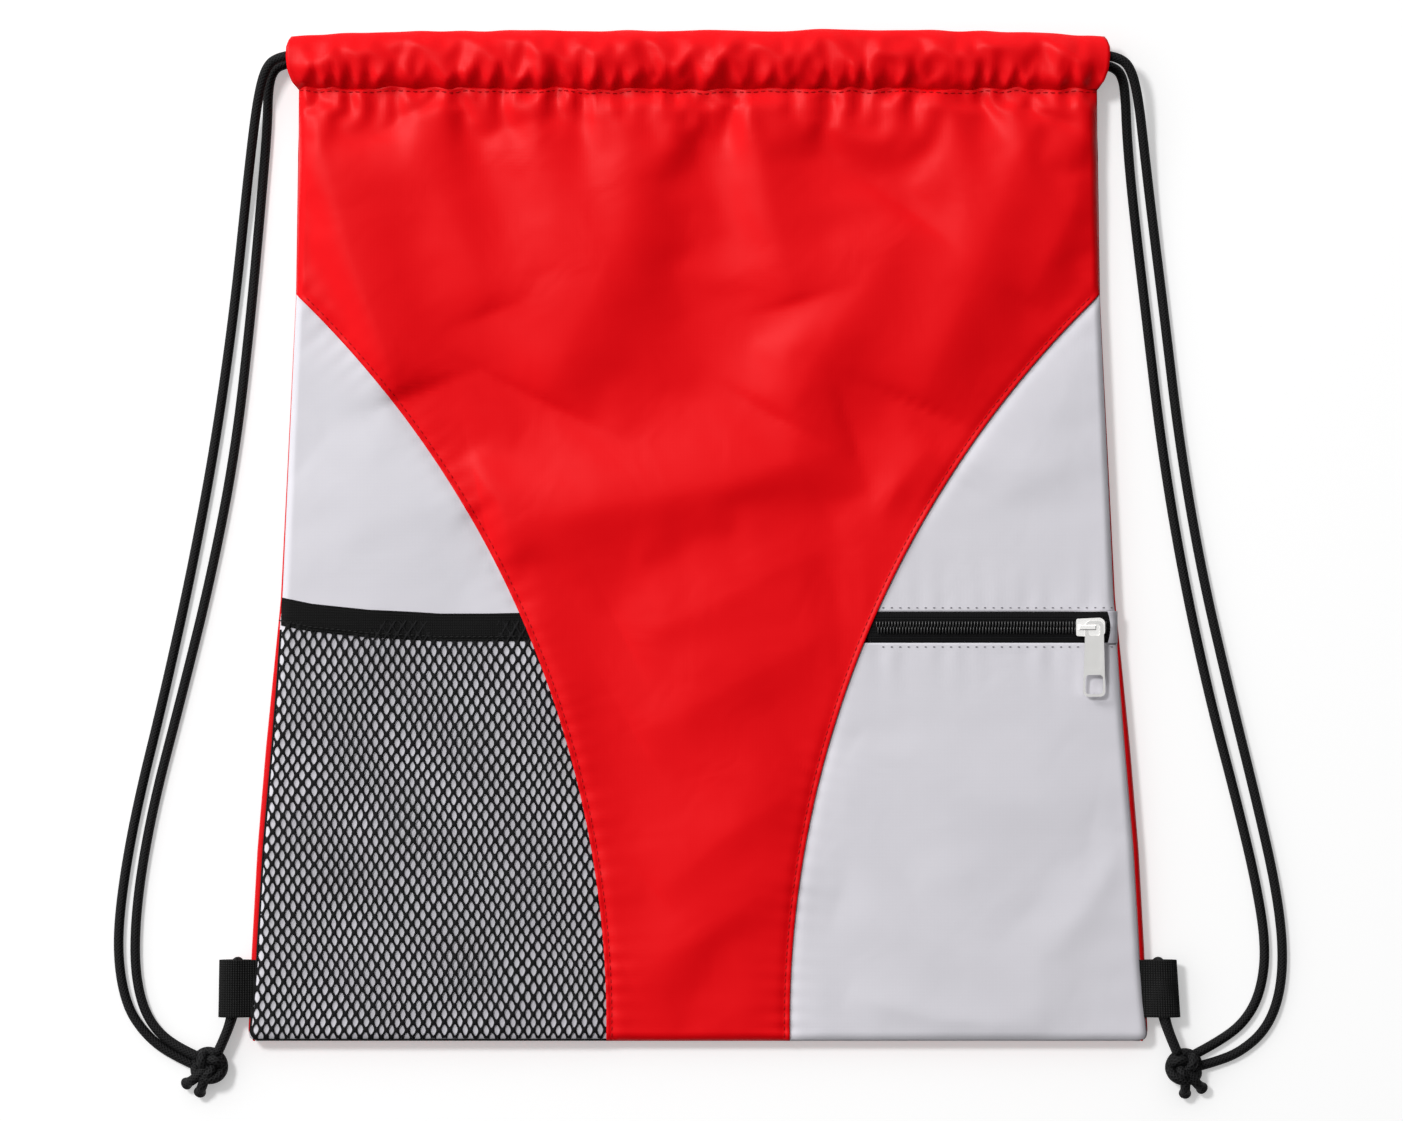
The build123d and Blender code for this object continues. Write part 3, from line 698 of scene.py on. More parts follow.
# Level of the sheet before it drapes, and of its middle afterwards.
SHEET_Z = 11.0
DRAPED_Z = 11.4
SAMPLE_STEP = 1.25
SAMPLE_X = np.arange(-180, 180.1, SAMPLE_STEP)
SAMPLE_Y = np.arange(-216, 216.1, SAMPLE_STEP)


def stitch_wave(x):
    """How far the casing's stitching, drawn up by its gathers, strays from a straight line."""
    return 0.75 * ruck(x, 0 * x, 91, 12) + 0.45 * ruck(x, 0 * x, 92, 34)


def casing_swell(y):
    """The casing's bulge over the cords, from its stitching up to its folded edge."""
    share = np.clip((y - STITCH_Y + 0.5) / (CASING_TOP - STITCH_Y), 0, 1)
    return 4.2 * np.sin(math.pi * share) ** 0.8 + 1.5 * share


def simulated_front():
    """Heights of the front after a cloth simulation, on the sample grid.

    The sheet is sewn down at its edges and along the casing's stitching. It is cut fuller than its place,
    most of all along the casing, so it buckles into gathers and folds. It starts from the large folds."""
    rows = np.arange(-216, 216.01, SHEET_STEP)
    columns = int(350 / SHEET_STEP) + 1
    share = np.linspace(-1, 1, columns)
    row = spread_rows(rows, columns)
    x = share * half_width(row)
    y = row
    z = SHEET_Z + 1.25 * folds(x, y, RED_FOLDS + GREY_FOLDS) * smooth((STITCH_Y - y) / 10)
    z = z + casing_swell(y) + 0.45 * ruck(x, y, 5, 60) + 0.4 * ruck(x, y, 6, 24)
    z = z + 0.7 * ruck(x, 0.25 * y, 7, 13) * np.exp(-np.abs(y - STITCH_Y) / 22)
    by_stitching = np.exp(-(((y - STITCH_Y + 0.5) / 9) ** 2))
    z = z + 0.9 * ruck(x, 0 * x, 93, 9) * by_stitching
    y = y + stitch_wave(x) * by_stitching
    faces = grid_faces(len(rows), columns)
    sheet = mesh_object("front sheet", stacked(x, y, z).reshape(-1, 3), faces, None)
    stitch_row = np.abs(row - STITCH_Y + 0.5) < SHEET_STEP * 0.51
    sewn = (np.abs(share) > 0.999) | (row < rows[0] + 1) | (row > rows[-1] - 1) | stitch_row
    pins = sheet.vertex_groups.new(name="sewn")
    pins.add(np.flatnonzero(sewn.ravel()).tolist(), 1.0, "REPLACE")
    snug = sheet.vertex_groups.new(name="snug")
    fullness = 0.1 + 0.9 * np.exp(-np.abs(y - 198) / 16)
    for k, full in enumerate(fullness.ravel()):
        snug.add([k], float(1 - full), "REPLACE")
    drape = sheet.modifiers.new("drape", "CLOTH")
    cloth = drape.settings
    cloth.quality = 5
    cloth.mass = 0.15
    cloth.tension_stiffness = cloth.compression_stiffness = 20
    cloth.shear_stiffness = 6
    cloth.bending_stiffness = 9
    cloth.air_damping = 2
    cloth.vertex_group_mass = "sewn"
    cloth.shrink_min = -0.13
    cloth.shrink_max = 0.0
    cloth.vertex_group_shrink = "snug"
    cloth.effector_weights.gravity = 0
    drape.collision_settings.use_collision = False
    drape.point_cache.frame_start = 1
    drape.point_cache.frame_end = DRAPE_STEPS
    for step in range(1, DRAPE_STEPS + 1):
        scene.frame_set(step)
    shape = sheet.evaluated_get(bpy.context.evaluated_depsgraph_get()).to_mesh()
    places = [tuple(v.co / MM) for v in shape.vertices]
    tree = BVHTree.FromPolygons(places, faces)
    bpy.data.objects.remove(sheet)
    scene.frame_set(1)
    heights = np.full((len(SAMPLE_Y), len(SAMPLE_X)), np.nan)
    for j, across in enumerate(SAMPLE_Y):
        for i, along in enumerate(SAMPLE_X):
            hit = tree.ray_cast((along, across, 80), (0, 0, -1))[0]
            if hit is not None:
                heights[j, i] = hit.z
    for row in heights:
        known = np.flatnonzero(~np.isnan(row))
        row[:] = np.interp(np.arange(len(row)), known, row[known]) if len(known) else SHEET_Z
    for _ in range(2):
        padded = np.pad(heights, 1, mode="edge")
        heights = (padded[:-2, 1:-1] + 2 * padded[1:-1, 1:-1] + padded[2:, 1:-1]) / 4
        padded = np.pad(heights, 1, mode="edge")
        heights = (padded[1:-1, :-2] + 2 * padded[1:-1, 1:-1] + padded[1:-1, 2:]) / 4
    return heights


def sampled(heights, x, y):
    """Heights between the samples."""
    i = np.clip((x - SAMPLE_X[0]) / SAMPLE_STEP, 0, len(SAMPLE_X) - 1.001)
    j = np.clip((y - SAMPLE_Y[0]) / SAMPLE_STEP, 0, len(SAMPLE_Y) - 1.001)
    left, low = i.astype(int), j.astype(int)
    u, v = i - left, j - low
    bottom = heights[low, left] * (1 - u) + heights[low, left + 1] * u
    top = heights[low + 1, left] * (1 - u) + heights[low + 1, left + 1] * u
    return bottom * (1 - v) + top * v


DRAPED = simulated_front()


def pinch(x, short, long):
    """How far from the casing's stitching the cloth takes to rise: little on a gather, far between two."""
    count = x / 10.5 + 0.45 * ruck(x, 0 * x, 94, 46) + 0.2 * ruck(x, 0 * x, 95, 22)
    between = np.abs(2 * (count - np.floor(count)) - 1)
    return short + (long - short) * between ** 1.2


GATHERS_BELOW = gather_set(11, 34, 26)
GATHERS_ABOVE = gather_set(23, 38, 22)
BACK_GATHERS_BELOW = gather_set(31, 30, 26)
BACK_GATHERS_ABOVE = gather_set(47, 34, 22)


def zip_calm(x, y):
    """1 where the zip, its slider and the puller need the cloth to lie flat, 0 away from there."""
    across = smooth((x - 46) / 26) * (x > 0)
    return across * smooth((y + 92) / 16) * smooth((22 - y) / 24)


# The front's level, and how far its folds rise and dip from it.
FRONT_Z = 10.8
HIGHEST_FOLD = 6.6
DEEPEST_FOLD = 5.0


def front_height(x, y, listed):
    """Height of the front cloth in mm before its edges are sewn down."""
    if DRAPED is None:
        z = 10.6 + folds(x, y, listed) + gathers(x, STITCH_Y - y, GATHERS_BELOW)
        z = z + 0.35 * ruck(x, y, 5, 60) + 0.16 * ruck(x, y, 6, 24)
    else:
        drape = sampled(DRAPED, x + 0 * y, y + 0 * x) - DRAPED_Z
        # Away from the gathers only part of the buckles stay, and the large folds lead.
        near_mouth = 0.2 + 0.8 * np.exp(-np.clip(STITCH_Y - 8 - y, 0, None) / 26)
        wave = near_mouth * drape + (1 - near_mouth) * (folds(x, y, RED_FOLDS + GREY_FOLDS) - 0.6)
        # The grey cloth lies flatter than the red.
        wave = wave * (0.6 + 0.4 * smooth((to_seam(x, y) + 16) / 16))
        below = np.clip(STITCH_Y - y, 0, None)
        wave = wave + 1.15 * gathers(x, below, GATHERS_BELOW) + 1.2 * np.exp(-below / 18)
        wave = wave + 1.1 * (1 - (1 - np.clip(below / pinch(x, 3, 13), 0, 1)) ** 2) * np.exp(-below / 30)
        limit = np.where(wave > 0, HIGHEST_FOLD, DEEPEST_FOLD)
        z = FRONT_Z + limit * np.tanh(wave / limit)
    near_seam = np.abs(to_seam(x, y))
    along = np.arctan2(y - SEAM_CENTRE[1], SEAM_CENTRE[0] - np.abs(x)) * SEAM_RADIUS
    beat = np.sin(2 * math.pi * along / 7.5 + 2.2 * np.sin(along / 23) + x / 60)
    z = z - 0.75 * np.exp(-((near_seam / 3.2) ** 2))
    z = z + (0.2 + 0.12 * ruck(x, y, 56, 40)) * beat * np.exp(-near_seam / 6)
    calm = zip_calm(x, y)
    pucker = 0.3 * ruck(x, 0.3 * y, 55, 12) * np.exp(-np.abs(np.abs(y - ZIP_Y) - 12) / 9)
    return (CALM_Z + pucker) * calm + z * (1 - calm)


def opened(y):
    """0 where the side seam is closed, 1 at the mouth, where front and back part."""
    return smooth((np.asarray(y) - 163) / 25)


def edge_rise(away, width):
    """From 0 at an edge to 1 from width mm inside it."""
    t = np.clip(away / width, 0, 1)
    return 1 - (1 - t) ** 2.3


def sewn_front(x, y, listed, lift):
    """Height of the front cloth with its side and bottom seams drawn down."""
    seam_z = EDGE_Z + 2.4 * opened(y)
    z = front_height(x, y, listed) + lift
    rise = edge_rise(front_edge(y) - np.abs(x), 3.4) * edge_rise(y - BOTTOM_Y, 4.0)
    return seam_z + (z - seam_z) * rise


def red_height(x, y):
    return sewn_front(x, y, RED_FOLDS, RED_LIFT)


def grey_height(x, y):
    return sewn_front(x, y, GREY_FOLDS, GREY_LIFT)


def panel(name, rows_y, left, right, columns, listed, material, lift):
    """A front panel between two edges, each a function of y."""
    share = bunched(columns)
    y = spread_rows(rows_y, columns)
    near, far = left(rows_y)[:, None], right(rows_y)[:, None]
    x = near + (far - near) * share
    y = y + stitch_wave(x) * smooth(1 - (STITCH_Y - y) / 14)
    z = sewn_front(x, y, listed, lift)
    if lift > 0:
        # The red's turned edge stands a little over the cloth and the net beside it.
        z = z + 0.4 * np.exp(-(((to_seam(x, y) - 0.2) / 1.1) ** 2)) * smooth((106 - y) / 5)
    if lift < 0:
        z = z - 0.9 * smooth((to_seam(x, y) + 0.3) / 1.2)
    return cloth_from_grid(name, stacked(x, y, z), material)


def rows_between(low, high, count):
    return low + (high - low) * bunched(count, 0.45)


def red_reach(y):
    return np.where(y < 104, np.minimum(seam_x(y) + 0.6, front_edge(y)), front_edge(y))


red_rows = rows_between(BOTTOM_Y, STITCH_Y, 230)
red_front = panel(
    "red_hourglass_front", red_rows, lambda y: -red_reach(y), red_reach, 186, RED_FOLDS, RED, RED_LIFT
)
belongs(red_front, "red_polyester", "front_center_panel")

TOP_OF_GREY = 103.2


def grey_panel(name, low, high, side, rows):
    return panel(
        name,
        rows_between(low, high, rows),
        lambda y: np.where(side < 0, -front_edge(y), seam_x(y) - 1.2),
        lambda y: np.where(side < 0, 1.2 - seam_x(y), front_edge(y)),
        84,
        GREY_FOLDS,
        GREY,
        GREY_LIFT,
    )


left_side = grey_panel("grey_side_left", BOTTOM_Y, TOP_OF_GREY, -1, 150)
right_side = grey_panel("grey_side_right", ZIP_Y + ZIP_HALF_BAND, TOP_OF_GREY, 1, 80)
pocket_face = grey_panel("zip_pocket_front", BOTTOM_Y, ZIP_Y - ZIP_HALF_BAND, 1, 100)
for piece, node, flat, area in (
    (left_side, "front_side_panel_left", (0.16, 0.33), 0.0345),
    (right_side, "front_side_panel_right", (0.12, 0.15), 0.0073),
    (pocket_face, "zip_pocket_face", (0.16, 0.19), 0.0240),
):
    belongs(piece, "grey_polyester", node)

# The pocket's lining lies flat under its face and the zip.
y = spread_rows(rows_between(-208, -22, 40), 30)
x = (seam_x(y) + 6) + (half_width(y) - 8 - seam_x(y) - 6) * bunched(30)
z = 6.6 + 0.35 * ruck(x, y, 9, 50)
lining = cloth_from_grid("zip_pocket_lining_cloth", stacked(x, y, z), GREY_LINING)
belongs(lining, "grey_polyester", "zip_pocket_lining")


# ---- the back, which wraps round the sides and shows as a thin strip beside the grey ----
def back_height(x, y):
    if DRAPED is None:
        z = 0.35 + 1.5 * np.clip(ruck(x, y, 71, 95), 0, None)
        return z + 0.7 * gathers(x, STITCH_Y - y, BACK_GATHERS_BELOW)
    return 0.35 + 0.7 * np.clip(sampled(DRAPED, -x, y) - 11.2, 0, 5)


def back_cloth():
    """Rows across the back: the first ones climb the bottom, and the ends of each climb the sides."""
    climb = ((7.0, 0.0), (4.2, 0.35), (2.2, 1.2), (0.8, 2.5), (0.1, 3.8), (0.0, 5.6))
    # Each row's place, and the least height of its points.
    rows = [(BOTTOM_Y + 0.4, 7.9)]
    rows += [(BOTTOM_Y + 0.35 + inset, lift) for inset, lift in climb[:0:-1]]
    rows += [(y, 0.0) for y in rows_between(BOTTOM_Y + 7, STITCH_Y, 130)]
    made = []
    for y, least in rows:
        out = half_width(y) - corner_round(y, 4.2)
        strip = float(back_shows(y))
        gap = float(opened(y))
        side = [(out - d, z) for d, z in climb] + [(out - 0.3 * strip, 7.4), (out - strip - 0.3, 8.2)]
        side = [(x, z * (1 - gap) + 0.3 * gap + 0.3) for x, z in side]
        inside = np.linspace(-1, 1, 120) * (out - 7.6)
        z_in = back_height(inside, np.full(len(inside), y))
        fade = edge_rise(out - 7 - np.abs(inside), 12) * edge_rise(y - BOTTOM_Y - 6, 12)
        z_in = 0.35 + (z_in - 0.35) * fade
        line = [(-x, z) for x, z in side[::-1]] + list(zip(inside, z_in)) + side
        made.append([(x, y, max(z, min(least + 0.3, 8.2))) for x, z in line])
    return np.array(made)


back = cloth_from_grid("red_back", back_cloth(), RED_PAINTED_SHADE, flip=True)
belongs(back, "red_polyester", "back_panel")

# A tuck of the same cloth closes each side between front and back up to the mouth.
SIDES = ((-1, "left"), (1, "right"))
for side, label in SIDES:
    depth = np.linspace(0, 1, 13)
    y = spread_rows(np.linspace(160, STITCH_Y, 24), 13)
    gap = opened(y)
    low = 7.9 * (1 - gap) + 0.5 * gap
    high = EDGE_Z + 2.8 * gap
    x = side * (half_width(y) - 0.6 - 26 * gap * depth * (1 - depth))
    grid = stacked(x, y, low + (high - low) * depth)
    tuck = cloth_from_grid(f"side_tuck_{label}", grid, RED_PAINTED_SHADE, flip=side < 0)
    belongs(tuck, "red_polyester")


# ---- casings: a hem of cloth round the cords at the mouth, gathered along its stitching ----
# The closed mouth's thickness, and the upper side of the cords inside the front casing.
MOUTH_THICK = 16.5
HELD_CORDS_TOP = 16.15
HELD_CORDS_Y = 203.4
CASING_END_FOLDS = [
    ([(-172, 198), (-160, 204), (-146, 213)], 1.0, 4, 7),
    ([(172, 198), (160, 204), (146, 213)], 1.0, 7, 4),
]


def casing(name, front):
    above = GATHERS_ABOVE if front else BACK_GATHERS_ABOVE
    below = GATHERS_BELOW if front else BACK_GATHERS_BELOW
    outer = bunched(30, 0.7)
    inner = bunched(12, 0.7)[::-1][1:-1]
    # v runs up the outer skin and back down the inner one, u from the left end to the right.
    v, u = np.meshgrid(np.concatenate([outer, inner]), np.linspace(-1, 1, 250))
    on_top = np.arange(v.shape[1]) < len(outer)
    x = u * np.interp(v, CASING_END_SHARES, CASING_END_X)
    wave = 0.5 * ruck(x, 0 * x, 81 + front, 40) + 0.25 * ruck(x, 0 * x, 83 + front, 15)
    crown = CASING_TOP - 0.6 - 2.6 * np.abs(u) ** 5 + wave * smooth((1 - np.abs(u)) * 12)
    stitched = STITCH_Y - 0.8 + stitch_wave(x)
    y = stitched + (crown - stitched) * v
    away = y - STITCH_Y
    puff = np.sin(math.pi * np.clip(v, 0, 1) ** 1.12) ** 0.75
    small = gathers(x, away, above) * np.clip((1 - v) * 4, 0, 1)
    small = small - 0.3 * gathers(x, away, below)
    slack = 0.5 * ruck(x, 2.2 * y, 87 + front, 26) * puff
    end_fold = folds(x, y, CASING_END_FOLDS)
    calm_end = smooth((1 - np.abs(u)) * 14)
    if DRAPED is None:
        skin = 11.0 + 1.9 * v + 3.7 * puff + 0.95 * small + slack + end_fold * puff
    else:
        place = x * (1 if front else -1)
        skin = sampled(DRAPED, place, stitched + (215.3 - stitched) * v) + 0.3
        pulled = np.clip((y - stitched) / pinch(x, 3.5, 15.0), 0, 1)
        rise = 1 - (1 - pulled) ** 2.2
        base = red_height(np.clip(x, -162, 162), stitched) - 0.4
        skin = base + (16.7 - base) * rise + 0.6 * (skin - 11.3 - 5.0 * puff) * rise * calm_end
        skin = skin + 0.55 * small * calm_end + (0.6 + end_fold) * puff
        skin = skin * (1 - v**9) + (13.6 + 0.3 * slack) * v**9
    under = 10.8 + 2.1 * v**4
    # The cords lie inside, so the cloth stays above them.
    cords_top = HELD_CORDS_TOP - 0.11 * np.clip(np.abs(y - HELD_CORDS_Y) - 3.4, 0, None) ** 2
    skin = cords_top + 0.45 * np.logaddexp(0, (skin - cords_top) / 0.45)
    z = np.where(on_top, np.maximum(skin, under + 0.25), under)
    z = np.clip(z, 10.6, 21.5)
    if not front:
        z = np.clip(MOUTH_THICK - z, 0.3, 5.6)
    return cloth_from_grid(name, stacked(x, y, z), RED, thick=0.4, flip=front, closed=True)


for front, label in ((True, "front"), (False, "back")):
    hem = casing(f"casing_{label}_cloth", front)
    belongs(hem, "red_polyester", f"casing_{label}")


# ---------------------------------------------------------------- repeated shapes, by geometry nodes
def node_group(name, sizes, kinds=None):
    """An empty geometry tree with named sizes, which are numbers unless kinds says otherwise."""
    tree = bpy.data.node_groups.new(name, "GeometryNodeTree")
    tree.interface.new_socket("Geometry", in_out="INPUT", socket_type="NodeSocketGeometry")
    for label in sizes:
        kind = "NodeSocket" + (kinds or {}).get(label, "Float")
        tree.interface.new_socket(label, in_out="INPUT", socket_type=kind)
    tree.interface.new_socket("Geometry", in_out="OUTPUT", socket_type="NodeSocketGeometry")
    return tree, add_node(tree, "NodeGroupInput").outputs


def shape_node(tree, kind, inputs=None):
    """The first output of one geometry node."""
    return add_node(tree, "GeometryNode" + kind, inputs).outputs[0]


def finish_group(tree, geometry, material):
    """Ends a tree: instances become real, and take their material."""
    real = shape_node(tree, "RealizeInstances", {0: geometry})
    painted = shape_node(tree, "SetMaterial", {0: real, "Material": material})
    add_node(tree, "NodeGroupOutput", {0: painted})
    return tree


def grown(name, base, tree, values, material):
    """Runs a geometry tree on base with the given sizes, and keeps only the result, as a plain mesh."""
    growth = base.modifiers.new("growth", "NODES")
    growth.node_group = tree
    for item in tree.interface.items_tree:
        if item.in_out == "INPUT" and item.name in values:
            growth[item.identifier] = values[item.name]
    graph = bpy.context.evaluated_depsgraph_get()
    mesh = bpy.data.meshes.new_from_object(base.evaluated_get(graph))
    bpy.data.objects.remove(base)
    mesh.name = name
    mesh.materials.clear()
    mesh.materials.append(material)
    for polygon in mesh.polygons:
        polygon.use_smooth = True
        polygon.material_index = 0
    return new_object(name, mesh)


def spaced_points(tree, given):
    """A point every Pitch along the tree's line."""
    line = shape_node(tree, "MeshToCurve", {0: given["Geometry"]})
    inputs = {0: line, "Length": given["Pitch"]}
    return add_node(tree, "GeometryNodeCurveToPoints", inputs, mode="LENGTH").outputs


def row_tree(name, material):
    """A row of stitches along a line: each is a bead, squeezed to the named sizes."""
    tree, given = node_group(name, ("Pitch", "Length", "Width", "Height"))
    dots = spaced_points(tree, given)
    facing = add_node(tree, "FunctionNodeAlignRotationToVector", {"Vector": dots["Tangent"]}, axis="X")
    size = combined(tree, given["Length"], given["Width"], given["Height"])
    bead = shape_node(tree, "MeshUVSphere", {"Segments": 8, "Rings": 5, "Radius": 0.5})
    inputs = {"Points": dots[0], "Instance": bead, "Rotation": facing.outputs[0], "Scale": size}
    return finish_group(tree, shape_node(tree, "InstanceOnPoints", inputs), material)


def edge_line(name, points):
    """A line of edges through points in mm, for a tree to follow."""
    links = [(i, i + 1) for i in range(len(points) - 1)]
    return mesh_object(name, points, [], None, edges=links)


ROW_TREES = {m.name: row_tree("row_of_" + m.name, m) for m in (RED_THREAD, GREY_THREAD, BLACK_THREAD)}
THREAD_WIDTH = 0.55
THREAD_HEIGHT = 0.42


def stitches(name, line, material, pitch, length, node, slot):
    """One piece of all the stitches that run along a line of points in mm."""
    sizes = {"Pitch": pitch, "Length": length, "Width": THREAD_WIDTH, "Height": THREAD_HEIGHT}
    sizes = {label: size * MM for label, size in sizes.items()}
    base = edge_line("stitch line", line)
    belongs(grown(name, base, ROW_TREES[material.name], sizes, material), slot, node)


SEAM_STITCH_INSET = 1.7
for side, label in SIDES:
    y = np.linspace(-213, 101, 420)
    x = SEAM_CENTRE[0] - np.sqrt((SEAM_RADIUS + SEAM_STITCH_INSET) ** 2 - (y - SEAM_CENTRE[1]) ** 2)
    x = side * np.minimum(x, front_edge(y) - 2)
    line = stacked(x, y, red_height(x, y) + 0.1)
    stitches(f"topstitch_{label}", line, RED_THREAD, 2.9, 2.2, f"stitch_seam_{label}", "red_thread")

x = np.linspace(-169, 169, 420)
y = STITCH_Y - 1.8 + stitch_wave(x)
for label, z in (("front", red_height(x, y) + 0.25), ("back", 0 * x + 0.25)):
    node = f"stitch_casing_{label}"
    stitches(f"casing_stitching_{label}", stacked(x, y, z), RED_THREAD, 3.1, 2.3, node, "red_thread")

ZIP_STITCH_OUT = 1.7
x = np.linspace(79, 176.5, 200)
for side, label in ((1, "upper"), (-1, "lower")):
    y = ZIP_Y + side * (ZIP_HALF_BAND + ZIP_STITCH_OUT) + 0 * x
    line = stacked(x, y, grey_height(x, y) + 0.12)
    stitches(f"zip_stitching_{label}", line, GREY_THREAD, 3.6, 1.1, f"stitch_zip_{label}", "grey_thread")

# ---------------------------------------------------------------- mesh pocket
BINDING_WIDTH = 12.0
BINDING_STITCH_DOWN = 10.0


def pocket_top(x):
    """Upper edge of the pocket's binding, which sags from the side towards the middle."""
    return np.interp(x, (-182, -165, -140, -110, -85, -60), (-25.4, -28.8, -31.4, -33.0, -33.0, -32.6))


def net_height(x, y):
    """The net stands off the grey cloth: most in its middle, hardly at all at its seams."""
    hem = np.minimum(front_edge(y) - np.abs(x), y - BOTTOM_Y)
    inside = np.clip(np.minimum(hem, -seam_x(y) - x), 0, None)
    wrinkles = 0.3 * ruck(x, y, 101, 42) + 0.3 * ruck(x + 0.6 * y, 0.4 * y, 102, 26)
    lift = 0.05 + 0.5 * (1 - np.exp(-inside / 22)) + wrinkles * (1 - np.exp(-inside / 14))
    clear = 0.1 + 0.4 * edge_rise(hem, 4)
    return np.maximum(grey_height(x, y) + clear, 0) + lift * edge_rise(hem, 8)


NET_ROWS = 110
NET_COLUMNS = 90
y = spread_rows(rows_between(BOTTOM_Y + 0.3, -36, NET_ROWS), NET_COLUMNS)
left = -front_edge(y) + 0.2
x = left + (0.1 - seam_x(y) - left) * bunched(NET_COLUMNS)
ground_points = stacked(x, y, net_height(x, y)).reshape(-1, 3)
net_ground = mesh_object("net ground", ground_points, grid_faces(NET_ROWS, NET_COLUMNS), NET)

CELL_WIDTH = 4.45
CELL_LENGTH = 7.0


def net_cell():
    """One knitted cell: a diamond tile round a pointed opening, its yarn rounded towards the hole."""
    corners = [(CELL_WIDTH / 2, 0), (0, CELL_LENGTH / 2), (-CELL_WIDTH / 2, 0), (0, -CELL_LENGTH / 2)]
    outer = []
    for k in range(4):
        a, b = np.array(corners[k]), np.array(corners[(k + 1) % 4])
        outer += [a, a + (b - a) / 3, a + (b - a) * 2 / 3]
    points = []
    levels = ((0.0, 0.28), (0.7, 0.24), (1.0, 0.0), (0.7, -0.24), (0.0, -0.28))
    for share, height in levels:
        for point in outer:
            turn = math.atan2(point[1] / CELL_LENGTH, point[0] / CELL_WIDTH)
            c, s = math.cos(turn), math.sin(turn)
            bulge = (abs(c) ** 1.45 + abs(s) ** 1.45) ** (-1 / 1.45)
            hole = np.array([1.22 * c * bulge, 2.42 * s * bulge])
            points.append((*(point + (hole - point) * share), height))
    return mesh_object("net cell", points, grid_faces(len(levels), len(outer), closed=True), NET)


def net_tree(cell, ground):
    """Staggered rows of cells, welded, pulled a little out of line, and laid on the ground."""
    sizes = ("Cell width", "Cell length", "Columns", "Rows", "Place", "Pull")
    tree, given = node_group("knitted_net", sizes, {"Columns": "Int", "Rows": "Int", "Place": "Vector"})
    inputs = {}
    for axis, size, count in (("X", "Cell width", "Columns"), ("Y", "Cell length", "Rows")):
        inputs["Size " + axis] = calc(tree, "MULTIPLY", given[size], given[count])
        inputs["Vertices " + axis] = calc(tree, "ADD", given[count], 1.0)
    grid = shape_node(tree, "MeshGrid", inputs)
    shift = vector_calc(tree, "SCALE", combined(tree, given["Cell width"], given["Cell length"], 0.0), 0.5)
    second = shape_node(tree, "Transform", {"Geometry": grid, "Translation": shift})
    rows = add_node(tree, "GeometryNodeJoinGeometry", {0: grid})
    tree.links.new(second, rows.inputs[0])
    placed = shape_node(tree, "Transform", {"Geometry": rows.outputs[0], "Translation": given["Place"]})
    tile = add_node(tree, "GeometryNodeObjectInfo", {"Object": cell}).outputs["Geometry"]
    tiles = shape_node(tree, "InstanceOnPoints", {"Points": placed, "Instance": tile})
    real = shape_node(tree, "RealizeInstances", {0: tiles})
    welded = shape_node(tree, "MergeByDistance", {0: real, "Distance": 0.04 * MM})
    level = (1.0, 1.0, 0.0)
    flat = vector_calc(tree, "MULTIPLY", shape_node(tree, "InputPosition"), level)
    stretch = add_node(tree, "ShaderNodeTexNoise", {"Vector": flat, "Scale": 34.0, "Detail": 1.0})
    centred = vector_calc(tree, "SUBTRACT", stretch.outputs["Color"], (0.5, 0.5, 0.5))
    pull = vector_calc(tree, "MULTIPLY", vector_calc(tree, "SCALE", centred, given["Pull"]), level)
    moved = shape_node(tree, "SetPosition", {0: welded, "Offset": pull})
    above = vector_calc(tree, "ADD", shape_node(tree, "InputPosition"), (0.0, 0.0, 0.1))
    target = add_node(tree, "GeometryNodeObjectInfo", {"Object": ground}).outputs["Geometry"]
    inputs = {"Target Geometry": target, "Source Position": above}
    inputs.update({"Ray Direction": (0.0, 0.0, -1.0), "Ray Length": 1.0})
    probe = add_node(tree, "GeometryNodeRaycast", inputs).outputs
    missed = add_node(tree, "FunctionNodeBooleanMath", {0: probe["Is Hit"]}, operation="NOT").outputs[0]
    cut = shape_node(tree, "DeleteGeometry", {"Geometry": moved, "Selection": missed})
    height = add_node(tree, "ShaderNodeSeparateXYZ", {0: probe["Hit Position"]}).outputs["Z"]
    laid = shape_node(tree, "SetPosition", {0: cut, "Offset": combined(tree, 0.0, 0.0, height)})
    return finish_group(tree, laid, NET)


cell = net_cell()
net = grown(
    "mesh_pocket_net",
    edge_line("net seed", [(0, 0, 0), (1, 0, 0)]),
    net_tree(cell, net_ground),
    {
        "Cell width": CELL_WIDTH * MM,
        "Cell length": CELL_LENGTH * MM,
        "Columns": 40,
        "Rows": 30,
        "Place": (-0.1150, -0.1300, 0.0),
        "Pull": 3.4 * MM,
    },
    NET,
)
for helper in (cell, net_ground):
    bpy.data.objects.remove(helper)
belongs(net, "black_mesh", "mesh_pocket")

# The net's cut edge is turned in along the side and the bottom, round a corner of radius CORNER.
CORNER = 4.5
side_y = np.linspace(-40, BOTTOM_Y + CORNER, 90)
corner_turn = np.linspace(0, math.pi / 2, 9)[1:-1]
corner_x = -front_edge(BOTTOM_Y + CORNER) + 5
bottom_x = np.linspace(corner_x, -39.2, 70)
x = np.concatenate([-front_edge(side_y) + 0.5, corner_x - CORNER * np.cos(corner_turn), bottom_x])
corner_y = BOTTOM_Y + 5.0 - CORNER * np.sin(corner_turn)
y = np.concatenate([side_y, corner_y, 0 * bottom_x + BOTTOM_Y + 0.6])
net_edge = swept_tube("mesh_pocket_edge", stacked(x, y, net_height(x, y) + 0.1), 0.45, NET, sides=8)
belongs(net_edge, "black_mesh")


